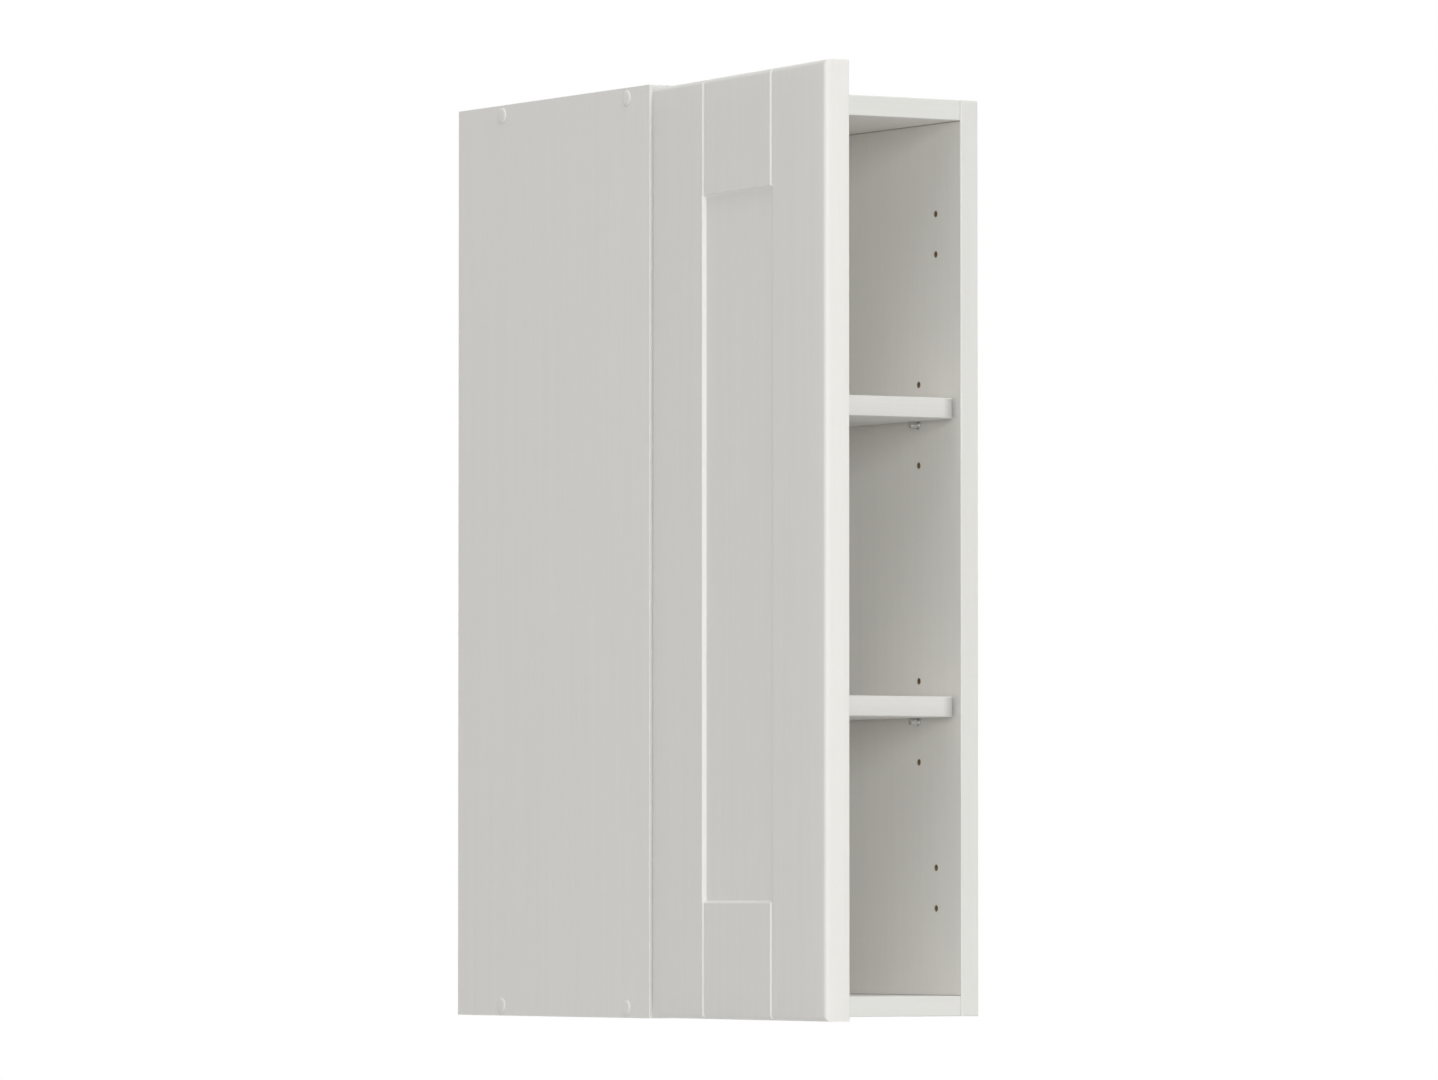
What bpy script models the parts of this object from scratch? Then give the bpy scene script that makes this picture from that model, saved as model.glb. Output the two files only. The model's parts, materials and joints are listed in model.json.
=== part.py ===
"""Wall cabinet with one hinged door, two loose shelves and concealed wall hangers.

Metres, +Z up, +X to the right seen from the front, +Y into the wall. The origin is the centre of the rear
face, on the wall. The door is modelled closed about its hinge axis, and stands open at rest.
"""

import math

import bmesh
import bpy
from mathutils import Vector

# Carcass boards
CARCASS_WIDTH = 0.300
CARCASS_HEIGHT = 0.720
CARCASS_DEPTH = 0.300
BOARD = 0.016
EDGE_ROUND = 0.0008
BOARD_GAP = 0.0003
BACK_THICKNESS = 0.003
BACK_OVERLAP = 0.008
BACK_EDGE_GAP = 0.0005

# Shelves: equal compartments, round front corners
SHELVES = ("lower", "upper")
SHELF_SETBACK = 0.003
SHELF_REAR_GAP = 0.0137
SHELF_CORNER_RADIUS = 0.010

# Shelf pins and their rows of holes in the sides
PIN_RADIUS = 0.0025
PIN_CLEARANCE = 0.0003
PIN_COLLAR_RADIUS = 0.0035
PIN_COLLAR_THICKNESS = 0.0010
PIN_PEG_LENGTH = 0.0085
PIN_SHANK_LENGTH = 0.008
PIN_CHAMFER = 0.0004
PIN_FRONT_SETBACK = 0.0625
PIN_REAR_SETBACK = 0.0625
HOLE_PITCH = 0.032
HOLE_END_GAP = 0.003

# Connector screws through the sides into the top and bottom panels, and their cover caps
CONNECTOR_FRONT_SETBACK = 0.035
CONNECTOR_REAR_SETBACK = 0.070
CONNECTOR_LENGTH = 0.048
CONNECTOR_SHANK_RADIUS = 0.0025
CONNECTOR_HEAD_RADIUS = 0.0046
CONNECTOR_HEAD_HEIGHT = 0.0030
CONNECTOR_SINK = 0.0004
CONNECTOR_SOCKET_RADIUS = 0.0021
CONNECTOR_SOCKET_DEPTH = 0.0024
CONNECTOR_CLEARANCE = 0.0003
CAP_LIP = 0.0014
CAP_THICKNESS = 0.0008
CAP_EDGE = 0.0003
CAP_STEM_END_GAP = 0.0006

# Door front
DOOR_THICKNESS = 0.020
DOOR_SIDE_REVEAL = 0.002
DOOR_TOP_REVEAL = 0.0035
DOOR_BOTTOM_REVEAL = 0.0005
DOOR_GAP = 0.003
DOOR_EDGE_RADIUS = 0.003
STILE_WIDTH = 0.088
RAIL_HEIGHT = 0.088
PANEL_RECESS = 0.003
GROOVE_WIDTH = 0.0042
GROOVE_DEPTH = 0.0021
GROOVE_INSET = 0.0003

# Single-pivot cup hinges
REST_OPENING = math.radians(94.6)
HINGE_END_DISTANCE = 0.100
AXIS_FROM_CARCASS = 0.0124
HINGE_FIT = 0.0003
CUP_RADIUS = 0.0175
CUP_EDGE_DISTANCE = 0.003
CUP_WALL = 0.0011
CUP_FLOOR = 0.0010
CUP_RIM = 0.0045
SLOT_END_WALL = 0.0022
CUP_DISH_DEPTH = 0.008
FLANGE_THICKNESS = 0.0012
FLANGE_LIP = 0.0015
EAR_SPACING = 0.048
EAR_OFFSET = 0.006
EAR_RADIUS = 0.0075
EAR_HOLE_RADIUS = 0.0022
HINGE_PIN_RADIUS = 0.00125
HINGE_PIN_LENGTH = 0.018
EYE_RADIUS = 0.0023
EYE_CLEARANCE = 0.0006
NECK_WIDTH = 0.008
NECK_THICKNESS = 0.0026
NECK_OFFSET = 0.0006
NECK_ELBOW_RADIUS = 0.0035
ARM_WIDTH = 0.0156
ARM_WALL = 0.0018
ARM_SKIRT_GAP = 0.0008
ARM_NOSE = 0.008
ARM_REAR = 0.066
ARM_REAR_ROUND = 0.003
TAPER_LENGTH = 0.008
PLATE_SETBACK = 0.037
PLATE_THICKNESS = 0.0026
PLATE_EAR_RADIUS = 0.0065
PLATE_HOLE_RADIUS = 0.0027
PLATE_RAIL_TOP = 0.0073
PLATE_RAIL_ROUND = 0.0025
PLATE_RAIL_FRONT_GAP = 0.008
PLATE_RAIL_REAR_GAP = 0.004
CLAMP_SCREW_SETBACK = 0.052
SIDE_SCREW_SETBACK = 0.026
ADJUST_SHANK_RADIUS = 0.0020
ADJUST_HEAD_RADIUS = 0.0036
ADJUST_HEAD_HEIGHT = 0.0018
ADJUST_TIP_GAP = 0.0016
ADJUST_SOCKET_RADIUS = 0.0016
ADJUST_SOCKET_DEPTH = 0.0012

# Concealed wall hangers in the upper rear corners
HANGER_DROP = 0.010
HANGER_WIDTH = 0.018
HANGER_DEPTH = 0.040
HANGER_HEIGHT = 0.054
HANGER_STANDOFF = 0.009
HANGER_WALL = 0.003
HANGER_ROUND = 0.003
HANGER_FIT = 0.0003
HOOK_THICKNESS = 0.0035
HOOK_DROP = 0.008
HOOK_TAIL_SETBACK = 0.008
HOOK_TAIL_LENGTH = 0.040
HOOK_LIP = 0.0085
HOOK_END_GAP = 0.0006
HEIGHT_SCREW_BELOW_HOOK = 0.0085
HANGER_SCREW_PITCH = 0.018
HANGER_SCREW_SHANK = 0.018
HANGER_SCREW_RADIUS = 0.0025
HANGER_SCREW_HEAD_RADIUS = 0.0040
COVER_WALL = 0.0012
COVER_SCREW_GAP = 0.0005
WINDOW_SIDE_GAP = 0.003
WINDOW_TOP_GAP = 0.004
WINDOW_BOTTOM_GAP = 0.018

# Roundness of turned pieces, holes and fillets, and how far a cutter runs past a face
TURNED_SEGMENTS = 16
HOLE_SEGMENTS = 12
CUP_SEGMENTS = 36
ARC_STEPS = 5
SHELF_CORNER_STEPS = 8
SMOOTH_ANGLE = math.radians(35)
CUT_PAST = 0.002

INNER_HALF_WIDTH = CARCASS_WIDTH / 2 - BOARD
FRONT_Y = -CARCASS_DEPTH
BACK_FRONT_Y = -BACK_THICKNESS - BOARD_GAP
TOP_Z = CARCASS_HEIGHT / 2
INNER_TOP_Z = TOP_Z - BOARD
SIDES = {"left": -1, "right": 1}
LEVELS = {"top": 1, "bottom": -1}
COMPARTMENT = (CARCASS_HEIGHT - (2 + len(SHELVES)) * BOARD) / (len(SHELVES) + 1)
SHELF_END_GAP = BOARD_GAP + PIN_COLLAR_THICKNESS + PIN_CLEARANCE
HOLE_DEPTH = PIN_SHANK_LENGTH + HOLE_END_GAP
PIN_ROWS = {"front": FRONT_Y + PIN_FRONT_SETBACK, "rear": -PIN_REAR_SETBACK}
CONNECTOR_ROWS = {"front": FRONT_Y + CONNECTOR_FRONT_SETBACK, "rear": -CONNECTOR_REAR_SETBACK}
CONNECTOR_Z = TOP_Z - BOARD / 2
CONNECTOR_HEAD_HOLE_RADIUS = CONNECTOR_HEAD_RADIUS + CONNECTOR_CLEARANCE
DOOR_WIDTH = CARCASS_WIDTH - 2 * DOOR_SIDE_REVEAL
DOOR_BOTTOM_Z = -TOP_Z + DOOR_BOTTOM_REVEAL
DOOR_TOP_Z = TOP_Z - DOOR_TOP_REVEAL
HINGE_LEVELS = {"upper": DOOR_TOP_Z - HINGE_END_DISTANCE, "lower": DOOR_BOTTOM_Z + HINGE_END_DISTANCE}

# The hinge axis clears the cup's wall and floor by the same gap round the arm's eye
AXIS_FROM_DOOR_EDGE = CUP_EDGE_DISTANCE + CUP_WALL + EYE_CLEARANCE + EYE_RADIUS
AXIS_P = DOOR_SIDE_REVEAL - BOARD + AXIS_FROM_DOOR_EDGE
AXIS_DEPTH = AXIS_FROM_CARCASS - DOOR_GAP
CUP_DEPTH = AXIS_DEPTH + EYE_RADIUS + EYE_CLEARANCE + CUP_FLOOR
CUP_CENTRE = CUP_EDGE_DISTANCE + CUP_RADIUS
FLANGE_RADIUS = CUP_RADIUS + FLANGE_LIP
ARM_TOP = PLATE_RAIL_TOP + HINGE_FIT + ARM_WALL
ARM_SKIRT = PLATE_THICKNESS + ARM_SKIRT_GAP
ADJUST_SCREWS = {"clamp": CLAMP_SCREW_SETBACK, "side": SIDE_SCREW_SETBACK}

HANGER_TOP_Z = INNER_TOP_Z - HANGER_DROP
HANGER_REAR_Y = BACK_FRONT_Y - HANGER_STANDOFF
HANGER_FRONT_Y = HANGER_REAR_Y - HANGER_DEPTH
HANGER_MIDDLE = BOARD_GAP + HANGER_WIDTH / 2
HOOK_WIDTH = HANGER_WIDTH - 2 * (HANGER_WALL + HANGER_FIT)
HOOK_UNDERSIDE = -HOOK_DROP - HOOK_THICKNESS
HANGER_SCREWS = {
    "height": HOOK_UNDERSIDE - HEIGHT_SCREW_BELOW_HOOK,
    "depth": HOOK_UNDERSIDE - HEIGHT_SCREW_BELOW_HOOK - HANGER_SCREW_PITCH,
}


def shelf_underside(index):
    """Height of a shelf's underside, counted from the lowest shelf."""
    return -TOP_Z + BOARD + (index + 1) * COMPARTMENT + index * BOARD


def pin_height(index):
    """Height of the axis of the pins that carry a shelf."""
    return shelf_underside(index) - PIN_RADIUS - PIN_CLEARANCE


# Materials
def linear(value):
    """One sRGB channel, 0 to 255, as a linear value."""
    share = value / 255
    return share / 12.92 if share <= 0.04045 else ((share + 0.055) / 1.055) ** 2.4


def finish(name, colour, roughness, metallic=0.0):
    """A Principled material."""
    made = bpy.data.materials.new(name)
    made.use_nodes = True
    shader = made.node_tree.nodes["Principled BSDF"]
    shader.inputs["Base Color"].default_value = (*[linear(c) for c in colour], 1)
    shader.inputs["Roughness"].default_value = roughness
    shader.inputs["Metallic"].default_value = metallic
    return made


# Mesh building
def arc(centre, radius, start, end, steps=ARC_STEPS):
    """Points on a circle from one angle to another, in degrees."""
    angles = [math.radians(start + (end - start) * i / steps) for i in range(steps + 1)]
    return [(centre[0] + radius * math.cos(a), centre[1] + radius * math.sin(a)) for a in angles]


def rounded_rectangle(low, high, radius):
    """Outline of a rectangle with four round corners."""
    left, bottom = low[0] + radius, low[1] + radius
    right, top = high[0] - radius, high[1] - radius
    return (
        arc((right, top), radius, 0, 90)
        + arc((left, top), radius, 90, 180)
        + arc((left, bottom), radius, 180, 270)
        + arc((right, bottom), radius, 270, 360)
    )


def rectangle(low, high):
    """Outline of a plain rectangle."""
    return [low, (high[0], low[1]), high, (low[0], high[1])]


def loft(bm, rings):
    """Joins rings of points of equal count into one closed skin with flat ends."""
    made = [[bm.verts.new(point) for point in ring] for ring in rings]
    for ring, after in zip(made, made[1:]):
        for i in range(len(ring)):
            j = (i + 1) % len(ring)
            bm.faces.new((ring[i], ring[j], after[j], after[i]))
    bm.faces.new(made[0])
    bm.faces.new(made[-1])


def prism(bm, outline, start, end, place):
    """Sweeps an outline of (a, b) points from start to end along c, placed by place(a, b, c)."""
    loft(bm, [[place(a, b, c) for a, b in outline] for c in (start, end)])


def box(bm, low, high):
    """An upright block between two corners."""
    prism(bm, rectangle(low[:2], high[:2]), low[2], high[2], lambda a, b, c: (a, b, c))


def turned(bm, profile, segments, place):
    """Turns a profile of (radius, height) points that starts and ends on the axis."""
    angles = [2 * math.pi * i / segments for i in range(segments)]
    first = bm.verts.new(place(0, 0, profile[0][1]))
    last = bm.verts.new(place(0, 0, profile[-1][1]))
    rings = [
        [bm.verts.new(place(r * math.cos(a), r * math.sin(a), h)) for a in angles] for r, h in profile[1:-1]
    ]
    for i in range(segments):
        j = (i + 1) % segments
        bm.faces.new((first, rings[0][i], rings[0][j]))
        bm.faces.new((last, rings[-1][j], rings[-1][i]))
        for ring, after in zip(rings, rings[1:]):
            bm.faces.new((ring[i], after[i], after[j], ring[j]))


def cylinder(bm, radius, start, end, place, segments=HOLE_SEGMENTS):
    """A plain round bar along the placed axis."""
    turned(bm, [(0, start), (radius, start), (radius, end), (0, end)], segments, place)


def along_x(x, y, z, sign=1):
    """Places a turned piece with its axis along X; a positive height points along sign."""
    return lambda a, b, h: (x + sign * h, y + a, z + b)


def along_y(x, y, z):
    """Places a turned piece with its axis along +Y."""
    return lambda a, b, h: (x + a, y + h, z + b)


def piece(name, bm, made_of=None, location=(0, 0, 0), parent=None, smooth=False):
    """Turns a mesh into a named object."""
    bmesh.ops.recalc_face_normals(bm, faces=bm.faces)
    mesh = bpy.data.meshes.new(name)
    bm.to_mesh(mesh)
    bm.free()
    if smooth:
        mesh.shade_smooth()
        mesh.set_sharp_from_angle(angle=SMOOTH_ANGLE)
    if made_of:
        mesh.materials.append(made_of)
    obj = bpy.data.objects.new(name, mesh)
    obj.location = location
    obj.parent = parent
    bpy.context.scene.collection.objects.link(obj)
    return obj


def combine(target, bm, operation):
    """Cuts a shape from a piece, or joins it on, with a Boolean."""
    tool = piece(f"{target.name}_{operation.lower()}", bm, parent=target.parent)
    tool.hide_render = True
    tool.display_type = "WIRE"
    modifier = target.modifiers.new(operation.title(), "BOOLEAN")
    modifier.operation = operation
    modifier.solver = "EXACT"
    modifier.object = tool


def axis_empty(name, location, turn=0.0):
    """An empty that carries the pieces of one sub-assembly."""
    empty = bpy.data.objects.new(name, None)
    empty.location = location
    empty.rotation_euler = (0, 0, turn)
    bpy.context.scene.collection.objects.link(empty)
    return empty


def banded_board(name, low, high, made_of):
    """A board whose front edges are slightly rounded by their edge band."""
    centre = (Vector(low) + Vector(high)) / 2
    bm = bmesh.new()
    box(bm, tuple(Vector(low) - centre), tuple(Vector(high) - centre))
    front = low[1] - centre.y
    edges = [e for e in bm.edges if all(abs(v.co.y - front) < EDGE_ROUND / 2 for v in e.verts)]
    bmesh.ops.bevel(bm, geom=edges, offset=EDGE_ROUND, segments=2, profile=0.5, affect="EDGES")
    return piece(name, bm, made_of, location=centre)


# Carcass
def build_side(name, sign, made_of):
    """One side panel with its rebate for the back, rows of holes and connector holes."""
    outer = sign * CARCASS_WIDTH / 2
    inner = sign * INNER_HALF_WIDTH
    side = banded_board(
        f"{name}_side", (min(outer, inner), FRONT_Y, -TOP_Z), (max(outer, inner), 0, TOP_Z), made_of
    )
    holes = bmesh.new()
    rebate_start = inner - sign * CUT_PAST
    rebate_end = inner + sign * (BACK_OVERLAP + BACK_EDGE_GAP)
    box(
        holes,
        (min(rebate_start, rebate_end), BACK_FRONT_Y, -TOP_Z - CUT_PAST),
        (max(rebate_start, rebate_end), CUT_PAST, TOP_Z + CUT_PAST),
    )
    blind = [
        (y, pin_height(shelf) + step * HOLE_PITCH)
        for y in PIN_ROWS.values()
        for shelf in range(len(SHELVES))
        for step in (-1, 0, 1)
    ]
    blind += [
        (FRONT_Y + PLATE_SETBACK, z + half * HOLE_PITCH / 2)
        for z in HINGE_LEVELS.values()
        for half in (-1, 1)
    ]
    for y, z in blind:
        cylinder(holes, PIN_RADIUS + PIN_CLEARANCE, -CUT_PAST, HOLE_DEPTH, along_x(inner, y, z, sign))
    head = CONNECTOR_HEAD_HOLE_RADIUS
    shank = CONNECTOR_SHANK_RADIUS + CONNECTOR_CLEARANCE
    seat = CONNECTOR_SINK + CONNECTOR_HEAD_HEIGHT + CONNECTOR_CLEARANCE
    stepped = [(0, -CUT_PAST), (head, -CUT_PAST), (head, seat), (shank, seat)]
    stepped += [(shank, BOARD + CUT_PAST), (0, BOARD + CUT_PAST)]
    for y in CONNECTOR_ROWS.values():
        for level in LEVELS.values():
            turned(holes, stepped, HOLE_SEGMENTS, along_x(outer, y, level * CONNECTOR_Z, -sign))
    combine(side, holes, "DIFFERENCE")


def build_flat_panel(name, level, made_of):
    """The top or bottom panel, held between the sides by connector screws."""
    half = INNER_HALF_WIDTH - BOARD_GAP
    low_z = INNER_TOP_Z if level > 0 else -TOP_Z
    panel = banded_board(
        f"{name}_panel",
        (-half, FRONT_Y, low_z),
        (half, BACK_FRONT_Y - BOARD_GAP, low_z + BOARD),
        made_of,
    )
    holes = bmesh.new()
    depth = CONNECTOR_SINK + CONNECTOR_LENGTH + CUT_PAST
    radius = CONNECTOR_SHANK_RADIUS + CONNECTOR_CLEARANCE
    for sign in SIDES.values():
        for y in CONNECTOR_ROWS.values():
            place = along_x(sign * CARCASS_WIDTH / 2, y, level * CONNECTOR_Z, -sign)
            cylinder(holes, radius, BOARD - CUT_PAST, depth, place)
    combine(panel, holes, "DIFFERENCE")


def build_back(made_of):
    """The thin back panel in the rebates, with a window for each wall hanger."""
    half = INNER_HALF_WIDTH + BACK_OVERLAP
    height = TOP_Z - BACK_EDGE_GAP
    bm = bmesh.new()
    box(bm, (-half, -BACK_THICKNESS, -height), (half, 0, height))
    back = piece("back_panel", bm, made_of)
    windows = bmesh.new()
    half_window = HOOK_WIDTH / 2 + WINDOW_SIDE_GAP
    for sign in SIDES.values():
        middle = sign * (INNER_HALF_WIDTH - HANGER_MIDDLE)
        bottom = HANGER_TOP_Z + HOOK_UNDERSIDE - HOOK_LIP - WINDOW_BOTTOM_GAP
        box(
            windows,
            (middle - half_window, -BACK_THICKNESS - CUT_PAST, bottom),
            (middle + half_window, CUT_PAST, HANGER_TOP_Z - HOOK_DROP + WINDOW_TOP_GAP),
        )
    combine(back, windows, "DIFFERENCE")


def build_shelf(index, made_of):
    """A loose shelf with round front corners, resting on four pins."""
    half = INNER_HALF_WIDTH - SHELF_END_GAP
    front = FRONT_Y + SHELF_SETBACK
    rear = BACK_FRONT_Y - SHELF_REAR_GAP
    radius = SHELF_CORNER_RADIUS
    outline = [(half, rear), (-half, rear)]
    outline += arc((-half + radius, front + radius), radius, 180, 270, SHELF_CORNER_STEPS)
    outline += arc((half - radius, front + radius), radius, 270, 360, SHELF_CORNER_STEPS)
    bm = bmesh.new()
    prism(bm, outline, 0, BOARD, lambda a, b, c: (a, b, c))
    ends = [e for e in bm.edges if all(v.co.y < rear - EDGE_ROUND for v in e.verts)]
    rims = [e for e in ends if abs(e.verts[0].co.z - e.verts[1].co.z) < EDGE_ROUND]
    bmesh.ops.bevel(bm, geom=rims, offset=EDGE_ROUND, segments=1, affect="EDGES")
    piece(f"{SHELVES[index]}_shelf", bm, made_of, location=(0, 0, shelf_underside(index)), smooth=True)


def build_shelf_pins(made_of):
    """Stepped pins in the middle hole of each row."""
    profile = [
        (0, -PIN_SHANK_LENGTH),
        (PIN_RADIUS - PIN_CHAMFER, -PIN_SHANK_LENGTH),
        (PIN_RADIUS, PIN_CHAMFER - PIN_SHANK_LENGTH),
        (PIN_RADIUS, BOARD_GAP),
        (PIN_COLLAR_RADIUS, BOARD_GAP),
        (PIN_COLLAR_RADIUS, BOARD_GAP + PIN_COLLAR_THICKNESS),
        (PIN_RADIUS, BOARD_GAP + PIN_COLLAR_THICKNESS),
        (PIN_RADIUS, PIN_PEG_LENGTH - PIN_CHAMFER),
        (PIN_RADIUS - PIN_CHAMFER, PIN_PEG_LENGTH),
        (0, PIN_PEG_LENGTH),
    ]
    for shelf, shelf_name in enumerate(SHELVES):
        for side, sign in SIDES.items():
            for row, y in PIN_ROWS.items():
                bm = bmesh.new()
                turned(bm, profile, TURNED_SEGMENTS, along_x(0, 0, 0, -sign))
                place = (sign * INNER_HALF_WIDTH, y, pin_height(shelf))
                piece(f"shelf_pin_{shelf_name}_{side}_{row}", bm, made_of, place, smooth=True)


def build_connectors(screw_finish, cap_finish):
    """Connector screws sunk in the sides, each under a push-in cover cap."""
    start = CONNECTOR_SINK
    neck = start + CONNECTOR_HEAD_HEIGHT
    screw = [
        (0, start + CONNECTOR_SOCKET_DEPTH),
        (CONNECTOR_SOCKET_RADIUS, start + CONNECTOR_SOCKET_DEPTH),
        (CONNECTOR_SOCKET_RADIUS, start),
        (CONNECTOR_HEAD_RADIUS, start),
        (CONNECTOR_HEAD_RADIUS, neck),
        (CONNECTOR_SHANK_RADIUS, neck),
        (CONNECTOR_SHANK_RADIUS, CONNECTOR_LENGTH - CONNECTOR_SHANK_RADIUS),
        (0, CONNECTOR_LENGTH),
    ]
    stem = CONNECTOR_SOCKET_RADIUS - CONNECTOR_CLEARANCE
    stem_end = start + CONNECTOR_SOCKET_DEPTH - CAP_STEM_END_GAP
    rim = CONNECTOR_HEAD_HOLE_RADIUS + CAP_LIP
    outside = -BOARD_GAP - CAP_THICKNESS
    cap = [
        (0, outside),
        (rim - CAP_EDGE, outside),
        (rim, outside + CAP_EDGE),
        (rim, -BOARD_GAP),
        (stem, -BOARD_GAP),
        (stem, stem_end),
        (0, stem_end),
    ]
    for side, sign in SIDES.items():
        for level, up in LEVELS.items():
            for row, y in CONNECTOR_ROWS.items():
                place = (sign * CARCASS_WIDTH / 2, y, up * CONNECTOR_Z)
                for kind, profile, made_of in (
                    ("connector_screw", screw, screw_finish),
                    ("cover_cap", cap, cap_finish),
                ):
                    bm = bmesh.new()
                    turned(bm, profile, HOLE_SEGMENTS, along_x(0, 0, 0, -sign))
                    piece(f"{kind}_{side}_{level}_{row}", bm, made_of, place, smooth=True)


# Wall hangers
def build_hanger(side, sign, case_finish, steel, cover_finish):
    """A hanger: case on the side panel, hook through the back panel, two adjusting screws and a cover."""
    base = axis_empty(f"hanger_{side}", (sign * INNER_HALF_WIDTH, 0, HANGER_TOP_Z))

    def upright(a, b, c):
        """Places (y, z) outlines; c is the distance from the side panel."""
        return (-sign * c, a, b)

    middle = HANGER_MIDDLE
    hole = HANGER_SCREW_RADIUS + HANGER_FIT

    case_low, case_high = (HANGER_FRONT_Y, -HANGER_HEIGHT), (HANGER_REAR_Y, 0)
    bm = bmesh.new()
    prism(
        bm,
        rounded_rectangle(case_low, case_high, HANGER_ROUND),
        BOARD_GAP,
        BOARD_GAP + HANGER_WIDTH,
        upright,
    )
    case = piece(f"hanger_case_{side}", bm, case_finish, parent=base)
    hollow = bmesh.new()
    slot = HOOK_WIDTH / 2 + HANGER_FIT
    inside = rectangle(
        (HANGER_FRONT_Y + HANGER_WALL, HANGER_WALL - HANGER_HEIGHT), (HANGER_REAR_Y + CUT_PAST, -HANGER_WALL)
    )
    prism(hollow, inside, middle - slot, middle + slot, upright)
    combine(case, hollow, "DIFFERENCE")
    bores = bmesh.new()
    for z in HANGER_SCREWS.values():
        place = along_y(-sign * middle, HANGER_FRONT_Y, z)
        cylinder(bores, hole, -CUT_PAST, HANGER_WALL + CUT_PAST, place)
    combine(case, bores, "DIFFERENCE")

    tail = HANGER_FRONT_Y + HOOK_TAIL_SETBACK
    end = -HOOK_END_GAP
    under = HOOK_UNDERSIDE
    outline = [
        (tail, -HOOK_DROP),
        (end, -HOOK_DROP),
        (end, under - HOOK_LIP),
        (end - HOOK_THICKNESS, under - HOOK_LIP),
        (end - HOOK_THICKNESS, under),
        (tail + HOOK_THICKNESS, under),
        (tail + HOOK_THICKNESS, -HOOK_DROP - HOOK_TAIL_LENGTH),
        (tail, -HOOK_DROP - HOOK_TAIL_LENGTH),
    ]
    bm = bmesh.new()
    prism(bm, outline, middle - HOOK_WIDTH / 2, middle + HOOK_WIDTH / 2, upright)
    hook = piece(f"hanger_hook_{side}", bm, steel, parent=base)
    bores = bmesh.new()
    for z in HANGER_SCREWS.values():
        place = along_y(-sign * middle, tail, z)
        cylinder(bores, hole, -CUT_PAST, HOOK_THICKNESS + CUT_PAST, place)
    combine(hook, bores, "DIFFERENCE")

    for name, z in HANGER_SCREWS.items():
        bm = bmesh.new()
        turned(
            bm,
            adjusting_screw(HANGER_SCREW_RADIUS, HANGER_SCREW_HEAD_RADIUS, HANGER_SCREW_SHANK),
            TURNED_SEGMENTS,
            lambda a, b, h: (a, h - HANGER_FIT, b),
        )
        place = (-sign * middle, HANGER_FRONT_Y, z)
        piece(f"hanger_{name}_screw_{side}", bm, steel, place, parent=base, smooth=True)

    room_front = HANGER_FRONT_Y - HANGER_FIT - ADJUST_HEAD_HEIGHT - COVER_SCREW_GAP
    room_low = (room_front, -HANGER_HEIGHT - HANGER_FIT)
    grown = rounded_rectangle(
        (room_front - COVER_WALL, room_low[1] - COVER_WALL),
        (HANGER_REAR_Y, HANGER_FIT + COVER_WALL),
        COVER_WALL,
    )
    reach = BOARD_GAP + HANGER_WIDTH + HANGER_FIT
    bm = bmesh.new()
    prism(bm, grown, BOARD_GAP, reach + COVER_WALL, upright)
    cover = piece(f"hanger_cover_{side}", bm, cover_finish, parent=base)
    hollow = bmesh.new()
    room = rectangle(room_low, (HANGER_REAR_Y + CUT_PAST, HANGER_FIT))
    prism(hollow, room, BOARD_GAP - CUT_PAST, reach, upright)
    combine(cover, hollow, "DIFFERENCE")


def adjusting_screw(shank_radius, head_radius, shank_length):
    """Profile of a socket screw: the head stands before height 0 and the shank after it."""
    return [
        (0, ADJUST_SOCKET_DEPTH - ADJUST_HEAD_HEIGHT),
        (ADJUST_SOCKET_RADIUS, ADJUST_SOCKET_DEPTH - ADJUST_HEAD_HEIGHT),
        (ADJUST_SOCKET_RADIUS, -ADJUST_HEAD_HEIGHT),
        (head_radius, -ADJUST_HEAD_HEIGHT),
        (head_radius, 0),
        (shank_radius, 0),
        (shank_radius, shank_length),
        (0, shank_length),
    ]


# Hinges: p runs from the side's inner face into the cabinet, q forwards from the carcass front
def on_carcass(p, q, z):
    """Places a hinge point on the carcass."""
    return (p, -q, z)


def flat_on_side(q, z, p):
    """Places (q, z) outlines that are swept away from the side panel."""
    return (p, -q, z)


def screw_in_side(q):
    """Places a screw that points at the side panel, with height 0 on the arm's top."""
    return lambda a, b, h: (ARM_TOP - h, -q + a, b)


def arm_outline():
    """Side view of the arm: skirt and web on the plate, then the neck that hooks round to the eye."""
    under_neck = ARM_TOP - NECK_THICKNESS
    neck_top = AXIS_FROM_CARCASS + NECK_OFFSET + NECK_THICKNESS / 2
    neck_low = neck_top - NECK_THICKNESS
    eye = (AXIS_P, AXIS_FROM_CARCASS)
    start = math.degrees(math.asin((neck_top - eye[1]) / EYE_RADIUS))
    end = 360 + math.degrees(math.asin((neck_low - eye[1]) / EYE_RADIUS))
    inner_elbow = NECK_ELBOW_RADIUS - NECK_THICKNESS / 2
    outline = arc((ARM_SKIRT + ARM_REAR_ROUND, -ARM_REAR + ARM_REAR_ROUND), ARM_REAR_ROUND, 180, 270)
    outline += [(ARM_TOP, -ARM_REAR)]
    outline += arc((ARM_TOP - NECK_ELBOW_RADIUS, neck_top - NECK_ELBOW_RADIUS), NECK_ELBOW_RADIUS, 0, 90)
    outline += arc(eye, EYE_RADIUS, start, end, 2 * ARC_STEPS)
    outline += arc((under_neck - inner_elbow, neck_low - inner_elbow), inner_elbow, 90, 0)
    outline += [(under_neck, -ARM_NOSE), (ARM_SKIRT, -ARM_NOSE)]
    return outline


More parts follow.
